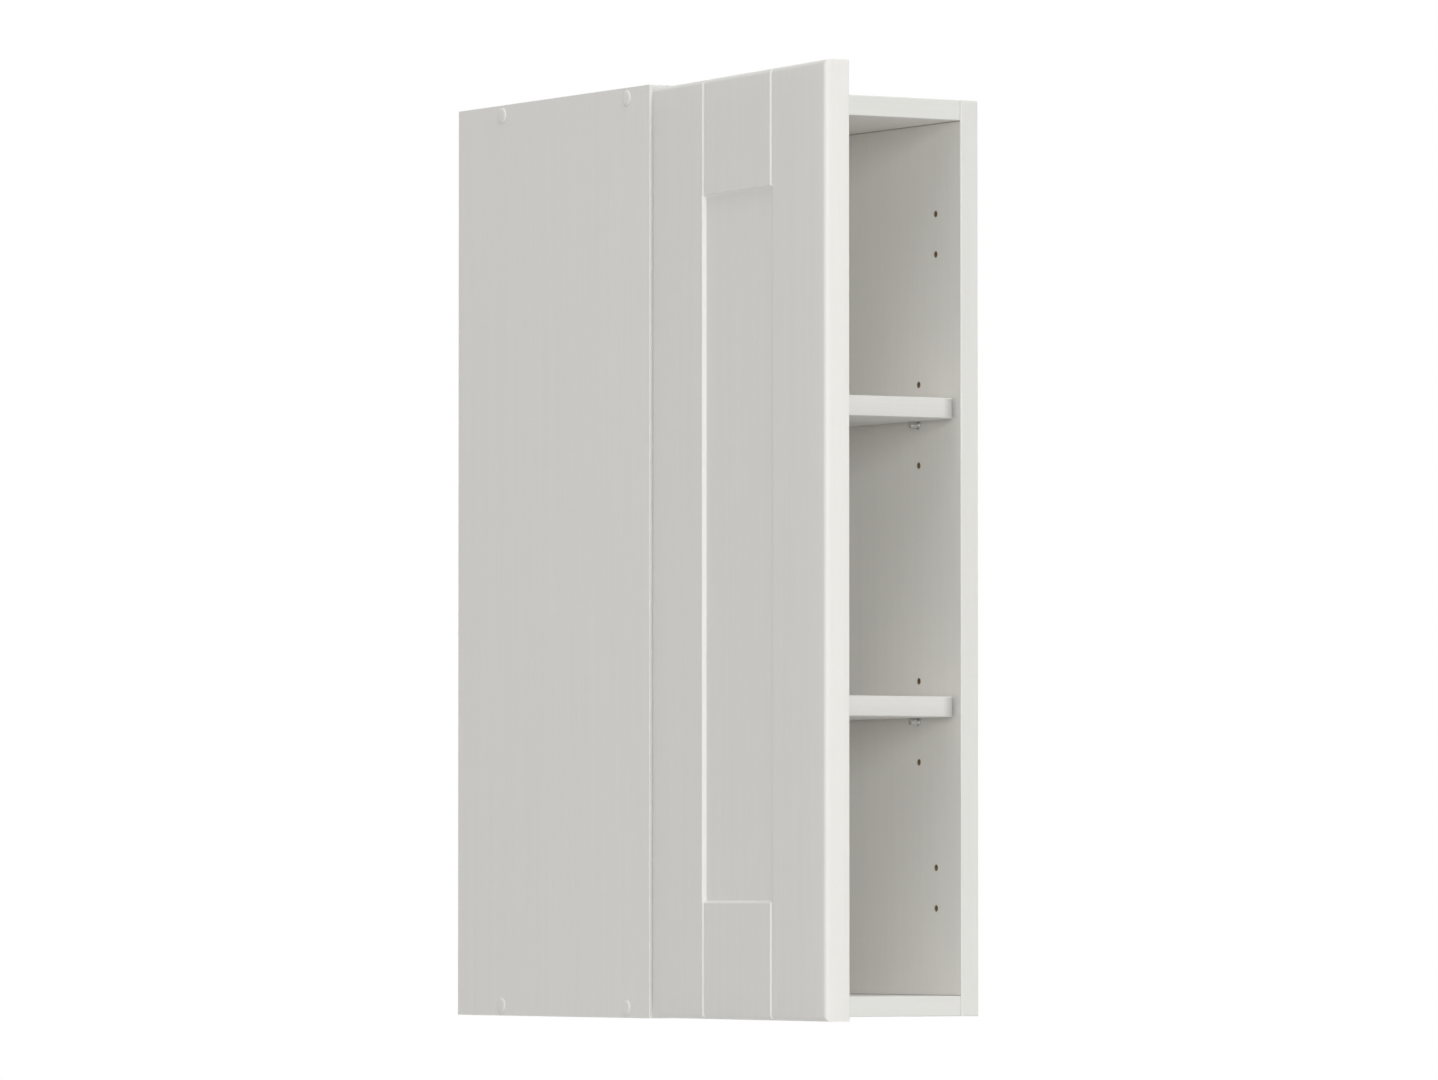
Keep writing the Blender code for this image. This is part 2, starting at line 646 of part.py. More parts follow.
def build_hinge_base(level, z, steel):
    """Mounting plate, gooseneck arm and its two screws, fixed on the left side."""
    base = axis_empty(f"hinge_{level}", (-INNER_HALF_WIDTH, FRONT_Y, z))
    bore = ADJUST_SHANK_RADIUS + HINGE_FIT
    channel = ARM_WIDTH / 2 - ARM_WALL

    ear = HOLE_PITCH / 2
    wings = arc((-PLATE_SETBACK, ear), PLATE_EAR_RADIUS, 0, 180, 2 * ARC_STEPS)
    wings += arc((-PLATE_SETBACK, -ear), PLATE_EAR_RADIUS, 180, 360, 2 * ARC_STEPS)
    bm = bmesh.new()
    prism(bm, wings, BOARD_GAP, PLATE_THICKNESS, flat_on_side)
    plate = piece(f"hinge_plate_{level}", bm, steel, parent=base)
    rail = bmesh.new()
    half_rail = channel - HINGE_FIT
    rail_outline = rounded_rectangle(
        (-ARM_REAR + PLATE_RAIL_REAR_GAP, -half_rail),
        (-ARM_NOSE - ARM_WALL - PLATE_RAIL_FRONT_GAP, half_rail),
        PLATE_RAIL_ROUND,
    )
    prism(rail, rail_outline, BOARD_GAP, PLATE_RAIL_TOP, flat_on_side)
    combine(plate, rail, "UNION")
    holes = bmesh.new()
    for half in (-1, 1):
        place = along_x(0, PLATE_SETBACK, half * ear)
        cylinder(holes, PLATE_HOLE_RADIUS, -CUT_PAST, PLATE_THICKNESS + CUT_PAST, place)
    for setback in ADJUST_SCREWS.values():
        place = along_x(0, setback, 0)
        cylinder(holes, bore, PLATE_THICKNESS, PLATE_RAIL_TOP + CUT_PAST, place)
    combine(plate, holes, "DIFFERENCE")

    bm = bmesh.new()
    prism(bm, arm_outline(), -ARM_WIDTH / 2, ARM_WIDTH / 2, on_carcass)
    arm = piece(f"hinge_arm_{level}", bm, steel, parent=base)
    cuts = bmesh.new()
    prism(
        cuts,
        rectangle((ARM_SKIRT - CUT_PAST, -ARM_REAR - CUT_PAST), (ARM_TOP - ARM_WALL, -ARM_NOSE - ARM_WALL)),
        -channel,
        channel,
        on_carcass,
    )
    combine(arm, cuts, "DIFFERENCE")
    trim = bmesh.new()
    wide = ARM_WIDTH / 2 + CUT_PAST
    reach = AXIS_FROM_CARCASS + EYE_RADIUS + CUT_PAST
    for half in (-1, 1):
        shoulder = [
            (-ARM_NOSE, half * wide),
            (-ARM_NOSE, half * ARM_WIDTH / 2),
            (TAPER_LENGTH - ARM_NOSE, half * NECK_WIDTH / 2),
            (reach, half * NECK_WIDTH / 2),
            (reach, half * wide),
        ]
        prism(trim, shoulder, AXIS_P - EYE_RADIUS - CUT_PAST, ARM_TOP + CUT_PAST, flat_on_side)
    combine(arm, trim, "DIFFERENCE")
    bores = bmesh.new()
    cylinder(
        bores,
        HINGE_PIN_RADIUS + HINGE_FIT,
        -NECK_WIDTH,
        NECK_WIDTH,
        lambda a, b, h: on_carcass(AXIS_P + a, AXIS_FROM_CARCASS + b, h),
    )
    for setback in ADJUST_SCREWS.values():
        cylinder(bores, bore, -CUT_PAST, ARM_WALL + CUT_PAST, screw_in_side(-setback))
    combine(arm, bores, "DIFFERENCE")

    shank_length = ARM_TOP + HINGE_FIT - PLATE_THICKNESS - ADJUST_TIP_GAP
    profile = adjusting_screw(ADJUST_SHANK_RADIUS, ADJUST_HEAD_RADIUS, shank_length)
    for name, setback in ADJUST_SCREWS.items():
        bm = bmesh.new()
        turned(bm, profile, TURNED_SEGMENTS, lambda a, b, h: (HINGE_FIT - h, a, b))
        piece(f"hinge_{name}_screw_{level}", bm, steel, (ARM_TOP, setback, 0), parent=base, smooth=True)


# Door: s runs from the hinge edge, d into the door from its back face
def on_door(s, d, z):
    """Places a point of the closed door about its hinge axis."""
    return (s - AXIS_FROM_DOOR_EDGE, AXIS_DEPTH - d, z)


def flat_on_door(s, z, d):
    """Places (s, z) outlines that are swept into the door."""
    return on_door(s, d, z)


def build_hinge_cup(level, z, door_axis, steel):
    """The cup with its flange, and the pivot pin that it holds."""
    centre = CUP_CENTRE
    ear = EAR_SPACING / 2
    ear_angle = math.degrees(math.atan2(ear, EAR_OFFSET))
    bm = bmesh.new()
    cylinder(bm, CUP_RADIUS, -HINGE_FIT - FLANGE_THICKNESS / 2, CUP_DEPTH, cup_place(centre, z), CUP_SEGMENTS)
    cup = piece(f"hinge_cup_{level}", bm, steel, parent=door_axis)

    ear_at = (centre + EAR_OFFSET, ear)
    lean = math.degrees(math.asin((FLANGE_RADIUS - EAR_RADIUS) / math.hypot(EAR_OFFSET, ear)))
    near, far = ear_angle + 90 - lean, ear_angle - 90 + lean
    outline = arc((ear_at[0], z + ear), EAR_RADIUS, far, near, 2 * ARC_STEPS)
    outline += arc((centre, z), FLANGE_RADIUS, near, 360 - near, 4 * ARC_STEPS)
    outline += arc((ear_at[0], z - ear), EAR_RADIUS, 360 - near, 360 - far, 2 * ARC_STEPS)
    outline += arc((centre, z), FLANGE_RADIUS, -far, far, 2 * ARC_STEPS)
    flange = bmesh.new()
    prism(flange, outline, -HINGE_FIT - FLANGE_THICKNESS, -HINGE_FIT, flat_on_door)
    combine(cup, flange, "UNION")

    floor = CUP_DEPTH - CUP_FLOOR
    outside = -HINGE_FIT - FLANGE_THICKNESS - CUT_PAST
    slot_half = NECK_WIDTH / 2 + EYE_CLEARANCE
    slot_start = CUP_EDGE_DISTANCE + CUP_WALL
    slot_end = centre + CUP_RADIUS - SLOT_END_WALL - slot_half
    slot = [(slot_start, z - slot_half), *arc((slot_end, z), slot_half, -90, 90), (slot_start, z + slot_half)]
    pocket = bmesh.new()
    prism(pocket, slot, outside, floor, flat_on_door)
    combine(cup, pocket, "DIFFERENCE")
    dish = bmesh.new()
    cylinder(dish, CUP_RADIUS - CUP_RIM, outside, CUP_DISH_DEPTH, cup_place(centre, z), CUP_SEGMENTS)
    combine(cup, dish, "DIFFERENCE")
    bores = bmesh.new()
    half = HINGE_PIN_LENGTH / 2
    cylinder(bores, HINGE_PIN_RADIUS + HINGE_FIT, z - half - HINGE_FIT, z + half + HINGE_FIT, pin_place)
    for up in (-1, 1):
        cylinder(bores, EAR_HOLE_RADIUS, outside, CUT_PAST, cup_place(centre + EAR_OFFSET, z + up * ear))
    combine(cup, bores, "DIFFERENCE")

    bm = bmesh.new()
    cylinder(bm, HINGE_PIN_RADIUS, z - half, z + half, pin_place)
    piece(f"hinge_pin_{level}", bm, steel, parent=door_axis, smooth=True)


def cup_place(s, z):
    """Places a round piece that is swept into the door at a point of its back face."""
    return lambda a, b, h: on_door(s + a, h, z + b)


def pin_place(a, b, h):
    """Places a round piece on the hinge axis."""
    return (a, b, h)


def build_door(door_axis, made_of):
    """The door front: rounded edges, recessed centre panel and grooves between stiles and rails."""
    bm = bmesh.new()
    corner = on_door(0, DOOR_THICKNESS, DOOR_BOTTOM_Z)
    far_corner = on_door(DOOR_WIDTH, 0, DOOR_TOP_Z)
    box(bm, corner, far_corner)
    rims = [e for e in bm.edges if all(abs(v.co.y - corner[1]) < DOOR_EDGE_RADIUS / 2 for v in e.verts)]
    bmesh.ops.bevel(
        bm, geom=rims, offset=DOOR_EDGE_RADIUS, segments=ARC_STEPS - 1, profile=0.5, affect="EDGES"
    )
    door = piece("door_panel", bm, made_of, parent=door_axis, smooth=True)

    floor = DOOR_THICKNESS - PANEL_RECESS
    past = DOOR_THICKNESS + CUT_PAST
    recess = bmesh.new()
    rings = []
    for depth in (floor, past):
        inset = DOOR_THICKNESS - depth
        low = (STILE_WIDTH + inset, DOOR_BOTTOM_Z + RAIL_HEIGHT + inset)
        high = (DOOR_WIDTH - STILE_WIDTH - inset, DOOR_TOP_Z - RAIL_HEIGHT - inset)
        rings.append([flat_on_door(s, z, depth) for s, z in rectangle(low, high)])
    loft(recess, rings)
    combine(door, recess, "DIFFERENCE")

    grooves = bmesh.new()
    root = DOOR_THICKNESS - GROOVE_DEPTH
    slope = GROOVE_WIDTH / 2 / GROOVE_DEPTH
    for lip, inward in ((STILE_WIDTH, 1), (DOOR_WIDTH - STILE_WIDTH, -1)):
        middle = lip + inward * (GROOVE_INSET + GROOVE_WIDTH / 2)
        wide = slope * (past - root)
        vee = [(middle, root), (middle + wide, past), (middle - wide, past)]
        for start, end in (
            (DOOR_BOTTOM_Z - CUT_PAST, DOOR_BOTTOM_Z + RAIL_HEIGHT + PANEL_RECESS),
            (DOOR_TOP_Z - RAIL_HEIGHT - PANEL_RECESS, DOOR_TOP_Z + CUT_PAST),
        ):
            prism(grooves, vee, start, end, on_door)
    combine(door, grooves, "DIFFERENCE")

    bores = bmesh.new()
    for z in HINGE_LEVELS.values():
        place = cup_place(CUP_CENTRE, z)
        cylinder(bores, CUP_RADIUS + HINGE_FIT, -CUT_PAST, CUP_DEPTH + HINGE_FIT, place, CUP_SEGMENTS)
    combine(door, bores, "DIFFERENCE")


def main():
    """Builds the cabinet."""
    for obj in list(bpy.data.objects):
        bpy.data.objects.remove(obj, do_unlink=True)

    board = finish("grey_laminate", (200, 199, 195), 0.55)
    front = finish("grey_foil_front", (201, 200, 196), 0.5)
    hardboard = finish("grey_hardboard", (192, 191, 187), 0.6)
    pin_steel = finish("nickel_pin", (186, 182, 174), 0.3, 1.0)
    screw_steel = finish("zinc_screw", (170, 172, 176), 0.4, 1.0)
    hinge_steel = finish("nickel_hinge", (190, 190, 188), 0.28, 1.0)
    cap_plastic = finish("grey_cap", (205, 204, 200), 0.45)
    case_plastic = finish("white_hanger_case", (222, 222, 218), 0.5)
    cover_plastic = finish("white_hanger_cover", (226, 226, 223), 0.4)

    for name, sign in SIDES.items():
        build_side(name, sign, board)
        build_hanger(name, sign, case_plastic, screw_steel, cover_plastic)
    for name, level in LEVELS.items():
        build_flat_panel(name, level, board)
    build_back(hardboard)
    for index in range(len(SHELVES)):
        build_shelf(index, board)
    build_shelf_pins(pin_steel)
    build_connectors(screw_steel, cap_plastic)

    door_axis = axis_empty(
        "door_axis", (-INNER_HALF_WIDTH + AXIS_P, FRONT_Y - AXIS_FROM_CARCASS, 0), -REST_OPENING
    )
    build_door(door_axis, front)
    for level, z in HINGE_LEVELS.items():
        build_hinge_base(level, z, hinge_steel)
        build_hinge_cup(level, z, door_axis, hinge_steel)


main()
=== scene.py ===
"""Looks of a wall cabinet with one hinged door: finishes, fine edges, fittings, studio and camera.

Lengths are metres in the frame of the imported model: +X right, +Y into the wall, +Z up.
"""

import json
import logging
import math
from dataclasses import dataclass
from enum import Enum
from typing import Any, Iterable, Mapping, Optional, Sequence, Union

import bmesh
import bpy
from mathutils import Matrix, Vector


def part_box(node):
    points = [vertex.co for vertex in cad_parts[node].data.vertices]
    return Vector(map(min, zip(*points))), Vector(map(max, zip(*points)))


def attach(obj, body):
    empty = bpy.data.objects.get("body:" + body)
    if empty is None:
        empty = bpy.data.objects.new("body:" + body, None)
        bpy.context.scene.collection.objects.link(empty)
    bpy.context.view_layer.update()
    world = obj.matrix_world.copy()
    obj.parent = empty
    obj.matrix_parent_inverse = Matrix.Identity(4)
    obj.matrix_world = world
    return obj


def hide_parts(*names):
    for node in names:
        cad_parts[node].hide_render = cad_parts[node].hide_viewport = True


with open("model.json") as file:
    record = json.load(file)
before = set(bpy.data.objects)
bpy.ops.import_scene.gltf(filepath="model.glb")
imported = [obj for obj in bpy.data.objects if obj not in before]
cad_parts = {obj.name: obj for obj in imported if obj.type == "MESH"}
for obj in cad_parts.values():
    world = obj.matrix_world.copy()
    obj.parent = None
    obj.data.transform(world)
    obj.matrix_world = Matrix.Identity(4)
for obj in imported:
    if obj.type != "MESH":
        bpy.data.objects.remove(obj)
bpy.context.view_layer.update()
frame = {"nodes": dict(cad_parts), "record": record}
LOG = logging.getLogger("wall_cabinet")

Colour = tuple[float, float, float]
Point = tuple[float, float, float]
Span = tuple[float, float]
Number = Union["Wire", float]
Value = Union["Wire", float, Sequence[float]]

CARCASS = "carcass"
DOOR = "door"
WHITE = (1.0, 1.0, 1.0, 1.0)
WELD = 1e-6
FLAT_ANGLE = math.radians(0.5)
SHARP_ANGLE = math.radians(30)
ARC_STEPS = (0, 15, 30, 45, 60, 75, 90)
PAIR = ((-0.5, "below"), (0.5, "above"))


def srgb(red: float, green: float, blue: float) -> Colour:
    """Linear colour of an 8-bit display colour, by the sRGB curve."""
    return tuple(c / 3294.6 if c < 10.31 else ((c / 255 + 0.055) / 1.055) ** 2.4 for c in (red, green, blue))


class Wire:
    """An output socket of a node tree, whose Python operators add Math nodes."""

    def __init__(self, graph: "Graph", socket: Optional[bpy.types.NodeSocket]) -> None:
        """Wraps a socket of the given graph."""
        self.graph = graph
        self.socket = socket

    def __add__(self, other: Number) -> "Wire":
        """Sum."""
        return self.graph.math("ADD", self, other)

    def __sub__(self, other: Number) -> "Wire":
        """Difference."""
        return self.graph.math("SUBTRACT", self, other)

    def __rsub__(self, other: Number) -> "Wire":
        """Difference, with the wire on the right."""
        return self.graph.math("SUBTRACT", other, self)

    def __mul__(self, other: Number) -> "Wire":
        """Product."""
        return self.graph.math("MULTIPLY", self, other)

    def __abs__(self) -> "Wire":
        """Value without its sign."""
        return self.graph.math("ABSOLUTE", self)

    def __gt__(self, other: Number) -> "Wire":
        """One where the wire is above the other value, else zero."""
        return self.graph.math("GREATER_THAN", self, other)

    def __lt__(self, other: Number) -> "Wire":
        """One where the wire is below the other value, else zero."""
        return self.graph.math("LESS_THAN", self, other)

    __radd__ = __add__
    __rmul__ = __mul__

    def over(self, span: Span) -> "Wire":
        """The span's first value where the wire is 0, changed by its second value where the wire is 1."""
        return self * span[1] + span[0]


class Graph:
    """The node tree of one material or of the world."""

    def __init__(self, tree: bpy.types.NodeTree) -> None:
        """Empties the tree and keeps it."""
        tree.nodes.clear()
        self.tree = tree

    def node(
        self,
        kind: str,
        settings: Mapping[str, Any] = {},
        sockets: Mapping[Union[str, int], Value] = {},
        output: Union[str, int] = 0,
    ) -> Wire:
        """Adds a node.

        Args:
            kind: Blender's type name.
            settings: Attributes, set before the sockets; "stops" are a ramp's positions and colours.
            sockets: Values or wires, by input name or number.
            output: Name or number of the output to use.

        Returns:
            The chosen output, or an empty wire for a node without outputs.
        """
        made = self.tree.nodes.new(kind)
        for key, value in settings.items():
            if key == "stops":
                self.set_stops(made.color_ramp, value)
            else:
                setattr(made, key, value)
        for key, value in sockets.items():
            if isinstance(value, Wire):
                self.tree.links.new(value.socket, made.inputs[key])
            else:
                made.inputs[key].default_value = value
        return Wire(self, made.outputs[output] if len(made.outputs) else None)

    @staticmethod
    def set_stops(ramp: bpy.types.ColorRamp, stops: Sequence[tuple[float, Colour]]) -> None:
        """Gives a ramp its stops, in rising order.

        Args:
            ramp: A new ramp, which has two stops.
            stops: Position and linear colour of each stop.
        """
        while len(ramp.elements) < len(stops):
            ramp.elements.new(1.0)
        for element, (position, colour) in zip(ramp.elements, stops):
            element.position = position
            element.color = (*colour, 1.0)

    def math(self, operation: str, *values: Number) -> Wire:
        """A Math node on one or two values."""
        return self.node("ShaderNodeMath", {"operation": operation}, dict(enumerate(values)))

    def place(self) -> Wire:
        """Position in the piece's own space."""
        return self.node("ShaderNodeTexCoord", output="Object")

    def along(self, place: Wire, axis: str) -> Wire:
        """One coordinate of a position."""
        return self.node("ShaderNodeSeparateXYZ", {}, {0: place}, axis)

    def length(self, place: Wire) -> Wire:
        """Length of a vector."""
        return self.node("ShaderNodeVectorMath", {"operation": "LENGTH"}, {0: place}, "Value")

    def in_sizes(self, place: Wire, sizes: Point) -> Wire:
        """Position counted in the given sizes along X, Y and Z."""
        return self.node("ShaderNodeVectorMath", {"operation": "DIVIDE"}, {0: place, 1: sizes})

    def noise(self, place: Wire, sizes: Point, detail: float = 2.0, rough: float = 0.5) -> Wire:
        """Smooth noise from 0 to 1 around 0.5.

        Args:
            place: Position to sample.
            sizes: Size of the largest spots along X, Y and Z.
            detail: Number of finer layers.
            rough: Strength of each finer layer.

        Returns:
            The noise value.
        """
        sockets = {"Vector": self.in_sizes(place, sizes), "Scale": 1.0, "Detail": detail, "Roughness": rough}
        return self.node("ShaderNodeTexNoise", {}, sockets, 0)

    def cells(self, place: Wire, sizes: Point) -> Wire:
        """A random value for each cell of a Voronoi pattern.

        Args:
            place: Position to sample.
            sizes: Size of a cell along X, Y and Z.

        Returns:
            A value from 0 to 1.
        """
        sockets = {"Vector": self.in_sizes(place, sizes), "Scale": 1.0}
        colour = self.node("ShaderNodeTexVoronoi", {"feature": "F1"}, sockets, "Color")
        return self.node("ShaderNodeSeparateColor", {}, {0: colour}, 0)

    def rise(self, value: Wire, low: float, high: float) -> Wire:
        """Zero below low, one above high, with a smooth step between."""
        sockets = {0: value, 1: low, 2: high, 3: 0.0, 4: 1.0}
        return self.node("ShaderNodeMapRange", {"interpolation_type": "SMOOTHSTEP"}, sockets)

    def ramp(self, value: Wire, *stops: tuple[float, Colour]) -> Wire:
        """Colour by value."""
        return self.node("ShaderNodeValToRGB", {"stops": stops}, {0: value})

    def shaded(self, colour: Union[Wire, Colour], factor: Wire) -> Wire:
        """Colour made lighter or darker by a factor."""
        return self.node("ShaderNodeVectorMath", {"operation": "SCALE"}, {0: colour, "Scale": factor})

    def mixed(self, factor: Wire, first: Value, second: Value) -> Wire:
        """Colour between two colours."""
        return self.node("ShaderNodeMix", {"data_type": "RGBA"}, {0: factor, 6: first, 7: second}, 2)

    def relief(self, height: Wire, depth: float) -> Wire:
        """Normal bent by a height from 0 to 1 that stands for the given depth."""
        sockets = {"Height": height, "Distance": depth, "Strength": 1.0}
        return self.node("ShaderNodeBump", {}, sockets, "Normal")

    def seen(self) -> Wire:
        """Tells what is seen from what only gives light.

        Returns:
            One for what is seen directly, in a gloss or through glass, else zero.
        """
        rays = ("Is Camera Ray", "Is Glossy Ray", "Is Transmission Ray")
        camera, glossy, through = (self.node("ShaderNodeLightPath", output=ray) for ray in rays)
        return self.math("MINIMUM", camera + glossy + through, 1.0)

    def surface(self, **sockets: Value) -> Wire:
        """A Principled surface; underscores in the names stand for spaces."""
        return self.node("ShaderNodeBsdfPrincipled", {}, {k.replace("_", " "): v for k, v in sockets.items()})


class Finish:
    """A procedural material that is made once and shared by its pieces."""

    name: str

    def material(self) -> bpy.types.Material:
        """Makes the material at its first use.

        Returns:
            The material of this finish.
        """
        made = bpy.data.materials.get(self.name)
        if made is None:
            made = bpy.data.materials.new(self.name)
            made.use_nodes = True
            graph = Graph(made.node_tree)
            graph.node("ShaderNodeOutputMaterial", {}, {"Surface": self.shader(graph)})
        return made

    def shader(self, graph: Graph) -> Wire:
        """Shader of the finish, written by each kind of finish."""
        raise NotImplementedError


class Grain(Enum):
    """Direction in which a printed grain runs."""

    UPRIGHT = "upright"
    ACROSS = "across"

    def sizes(self, width: float, length: float) -> Point:
        """Size of a streak along X, Y and Z."""
        return (width, width, length) if self is Grain.UPRIGHT else (length, width, width)


@dataclass(frozen=True)
class ButtJoint:
    """Painted shade line on a board in the inner corner where another board meets it, at one level along an
    axis.
    """

    axis: str
    level: float
    width: float

    def line(self, graph: Graph, place: Wire) -> Wire:
        """One on the joint, fading to zero at its width."""
        return 1 - graph.rise(abs(graph.along(place, self.axis) - self.level), 0.0, self.width)


@dataclass(frozen=True)
class Skin:
    """The coated outside of a board; what lies deeper is bare chipboard."""

    low: Point
    high: Point
    inward: int = 0
    joints: tuple[ButtJoint, ...] = ()
    coat: float = 0.00015
    band: float = 0.0011
    band_colour: Colour = srgb(239.7, 238.4, 234.3)
    seam: Span = (0.00004, 0.00012)
    seam_shade: float = 0.10
    # strength of the painted shade along the joints
    joint_shade: float = 0.55

    @staticmethod
    def of(node: str, inward: int, *joints: ButtJoint) -> "Skin":
        """Skin of a CAD board, whose rear edge has no band.

        Args:
            node: Name of the board's node.
            inward: Sign of X towards the inside for a side, zero for a level board.
            joints: Painted shade lines where other boards meet it.

        Returns:
            The skin.
        """
        low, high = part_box(node)
        return Skin(tuple(low), tuple(high), inward, joints)

    def core(self, graph: Graph, place: Wire) -> Wire:
        """Finds the bare board: inside holes and rebates, and on the rear edge.

        Args:
            graph: Node tree of the material.
            place: Position on the board.

        Returns:
            One where the bare board shows, else zero.
        """
        x, y, z = (graph.along(place, axis) for axis in "XYZ")
        inside = (x > self.low[0] + self.coat) * (x < self.high[0] - self.coat)
        inside = inside * (z > self.low[2] + self.coat) * (z < self.high[2] - self.coat)
        return inside * (y > self.low[1] + self.band)

    def banded(self, graph: Graph, place: Wire) -> Wire:
        """One on the front edge band, else zero."""
        return graph.along(place, "Y") < self.low[1] + self.band

    def seams(self, graph: Graph, place: Wire) -> Wire:
        """Draws hair lines between the coat and the front edge band, and painted shade lines along the
        joints.

        Args:
            graph: Node tree of the material.
            place: Position on the board.

        Returns:
            Darkness of the lines.
        """
        behind = graph.along(place, "Y") - (self.low[1] + self.band)
        band = 1 - graph.rise(abs(behind), *self.seam)
        inside = behind > 0.0
        if self.inward:
            face = self.high[0] if self.inward > 0 else self.low[0]
            inside = inside * (abs(graph.along(place, "X") - face) < self.coat)
        # painted shade in the inner corners along the joints
        lines = sum(joint.line(graph, place) for joint in self.joints)
        return band * self.seam_shade + lines * inside * self.joint_shade


@dataclass(frozen=True)
class CornerShadeBand:
    """Painted shade on a shelf's front edge band: darker round the front corners, with a painted shadow at
    the ends by the walls. Where each shade sets in is counted in corner radii from the end of the shelf.
    """

    low: Point
    high: Point
    radius: float
    # strength of the painted shade round the front corners
    drawn: float = 0.22
    corner_shade_along: Span = (-1.4, -0.7)
    # strength of the painted shadow at the ends of the shelf
    end_shadow: float = 0.30
    end_shadow_along: Span = (-0.45, -0.2)
    rim: float = 0.0006

    def shade(self, graph: Graph, place: Wire) -> Wire:
        """Paints shade on the corners of the front edge only.

        Args:
            graph: Node tree of the material.
            place: Position on the shelf.

        Returns:
            Factor for the colour.
        """
        x, y, z = (graph.along(place, axis) for axis in "XYZ")
        reach = abs(x) - (self.high[0] - self.low[0]) / 2
        # painted shade round the corners, then a painted shadow at the very ends
        dark = graph.rise(reach, *(at * self.radius for at in self.corner_shade_along)) * self.drawn
        dark = dark + graph.rise(reach, *(at * self.radius for at in self.end_shadow_along)) * self.end_shadow
        edge = (y < self.low[1] + self.radius) * (z > self.low[2] + self.rim) * (z < self.high[2] - self.rim)
        return 1 - dark * edge


@dataclass(frozen=True)
class CoatedBoard(Finish):
    """Matt printed coat with faint streaks along one direction, over a chipboard core."""

    name: str
    colour: Colour
    grain: Grain
    skin: Optional[Skin] = None
    # painted shade and shadow on a shelf's front corners
    band: Optional[CornerShadeBand] = None
    roughness: float = 0.47
    specular: float = 0.35
    streaks: float = 0.07
    streak: Span = (0.0008, 0.060)
    streak_gloss: float = 0.12
    figure: Span = (0.006, 0.350)
    figure_share: float = 0.6
    pore: Span = (0.0004, 0.010)
    pore_levels: Span = (0.62, 0.74)
    pore_share: float = 0.5
    pore_gloss: float = 0.06
    depth: float = 0.000012
    chip: Point = (0.0020, 0.0020, 0.0008)
    dust: Point = (0.0006, 0.0006, 0.0004)
    browns: tuple[tuple[float, Colour], ...] = (
        (0.15, srgb(112, 84, 58)), (0.45, srgb(158, 124, 90)), (0.85, srgb(196, 165, 126)),
    )
    core_roughness: float = 0.9

    def shader(self, graph: Graph) -> Wire:
        """Streaks, pores and clouds in the coat, and chips in the core.

        Args:
            graph: Node tree of the material.

        Returns:
            The surface.
        """
        place = graph.place()
        fine = graph.noise(place, self.grain.sizes(*self.streak), detail=3.0, rough=0.6)
        broad = graph.noise(place, self.grain.sizes(*self.figure))
        pores = graph.rise(graph.noise(place, self.grain.sizes(*self.pore), detail=1.0), *self.pore_levels)
        shade = 1 + (fine - 0.5) * self.streaks + (broad - 0.5) * (self.figure_share * self.streaks)
        shade = shade - pores * (self.pore_share * self.streaks)
        colour = graph.shaded(self.colour, shade)
        roughness = self.roughness + (fine - 0.5) * self.streak_gloss + pores * self.pore_gloss
        height = fine * 0.5 + (1 - pores) * 0.5
        # painted shade round the shelves' front corners and painted shadow at their ends
        if self.band is not None:
            colour = graph.shaded(colour, self.band.shade(graph, place))
        if self.skin is not None:
            band = graph.shaded(self.skin.band_colour, shade)
            colour = graph.mixed(self.skin.banded(graph, place), colour, band)
            # hair lines of the band's seam, and painted shade along the joints
            colour = graph.shaded(colour, 1 - self.skin.seams(graph, place))
            core = self.skin.core(graph, place)
            chips = graph.cells(place, self.chip)
            dust = graph.noise(place, self.dust, detail=3.0)
            brown = graph.ramp(chips * 0.7 + dust * 0.3, *self.browns)
            colour = graph.mixed(core, colour, brown)
            roughness = roughness * (1 - core) + core * self.core_roughness
            height = height * (1 - core) + core * (chips * 0.5 + dust)
        return graph.surface(
            Base_Color=colour, Roughness=roughness, Normal=graph.relief(height, self.depth),
            Specular_IOR_Level=self.specular,
        )


@dataclass(frozen=True)
class Hardboard(Finish):
    """Thin fibreboard: painted towards the inside, bare brown towards the wall."""

    name: str
    paint: Colour
    painted_before: float
    peel: float = 0.0012
    paint_shade: Span = (0.985, 0.03)
    paint_roughness: Span = (0.45, 0.1)
    fibre: Point = (0.0045, 0.002, 0.0016)
    browns: tuple[tuple[float, Colour], ...] = (
        (0.25, srgb(122, 90, 60)), (0.55, srgb(158, 122, 84)), (0.8, srgb(180, 146, 104)),
    )
    bare_roughness: Span = (0.72, 0.2)
    fleck: Point = (0.0006, 0.0006, 0.0030)
    fleck_levels: Span = (0.66, 0.76)
    fleck_shade: float = 0.22
    depth: float = 0.00004

    def shader(self, graph: Graph) -> Wire:
        """Paint with a fine orange peel, and felted fibres behind it.

        Args:
            graph: Node tree of the material.

        Returns:
            The surface.
        """
        place = graph.place()
        bare = graph.along(place, "Y") > self.painted_before
        peel = graph.noise(place, (self.peel,) * 3)
        fibres = graph.noise(place, self.fibre, detail=5.0, rough=0.65)
        flecks = graph.rise(graph.noise(place, self.fleck, detail=1.0), *self.fleck_levels)
        brown = graph.shaded(graph.ramp(fibres, *self.browns), 1 - flecks * self.fleck_shade)
        colour = graph.mixed(bare, graph.shaded(self.paint, peel.over(self.paint_shade)), brown)
        roughness = (1 - bare) * peel.over(self.paint_roughness) + bare * fibres.over(self.bare_roughness)
        height = (1 - bare) * peel + bare * (fibres + flecks)
        return graph.surface(Base_Color=colour, Roughness=roughness, Normal=graph.relief(height, self.depth))


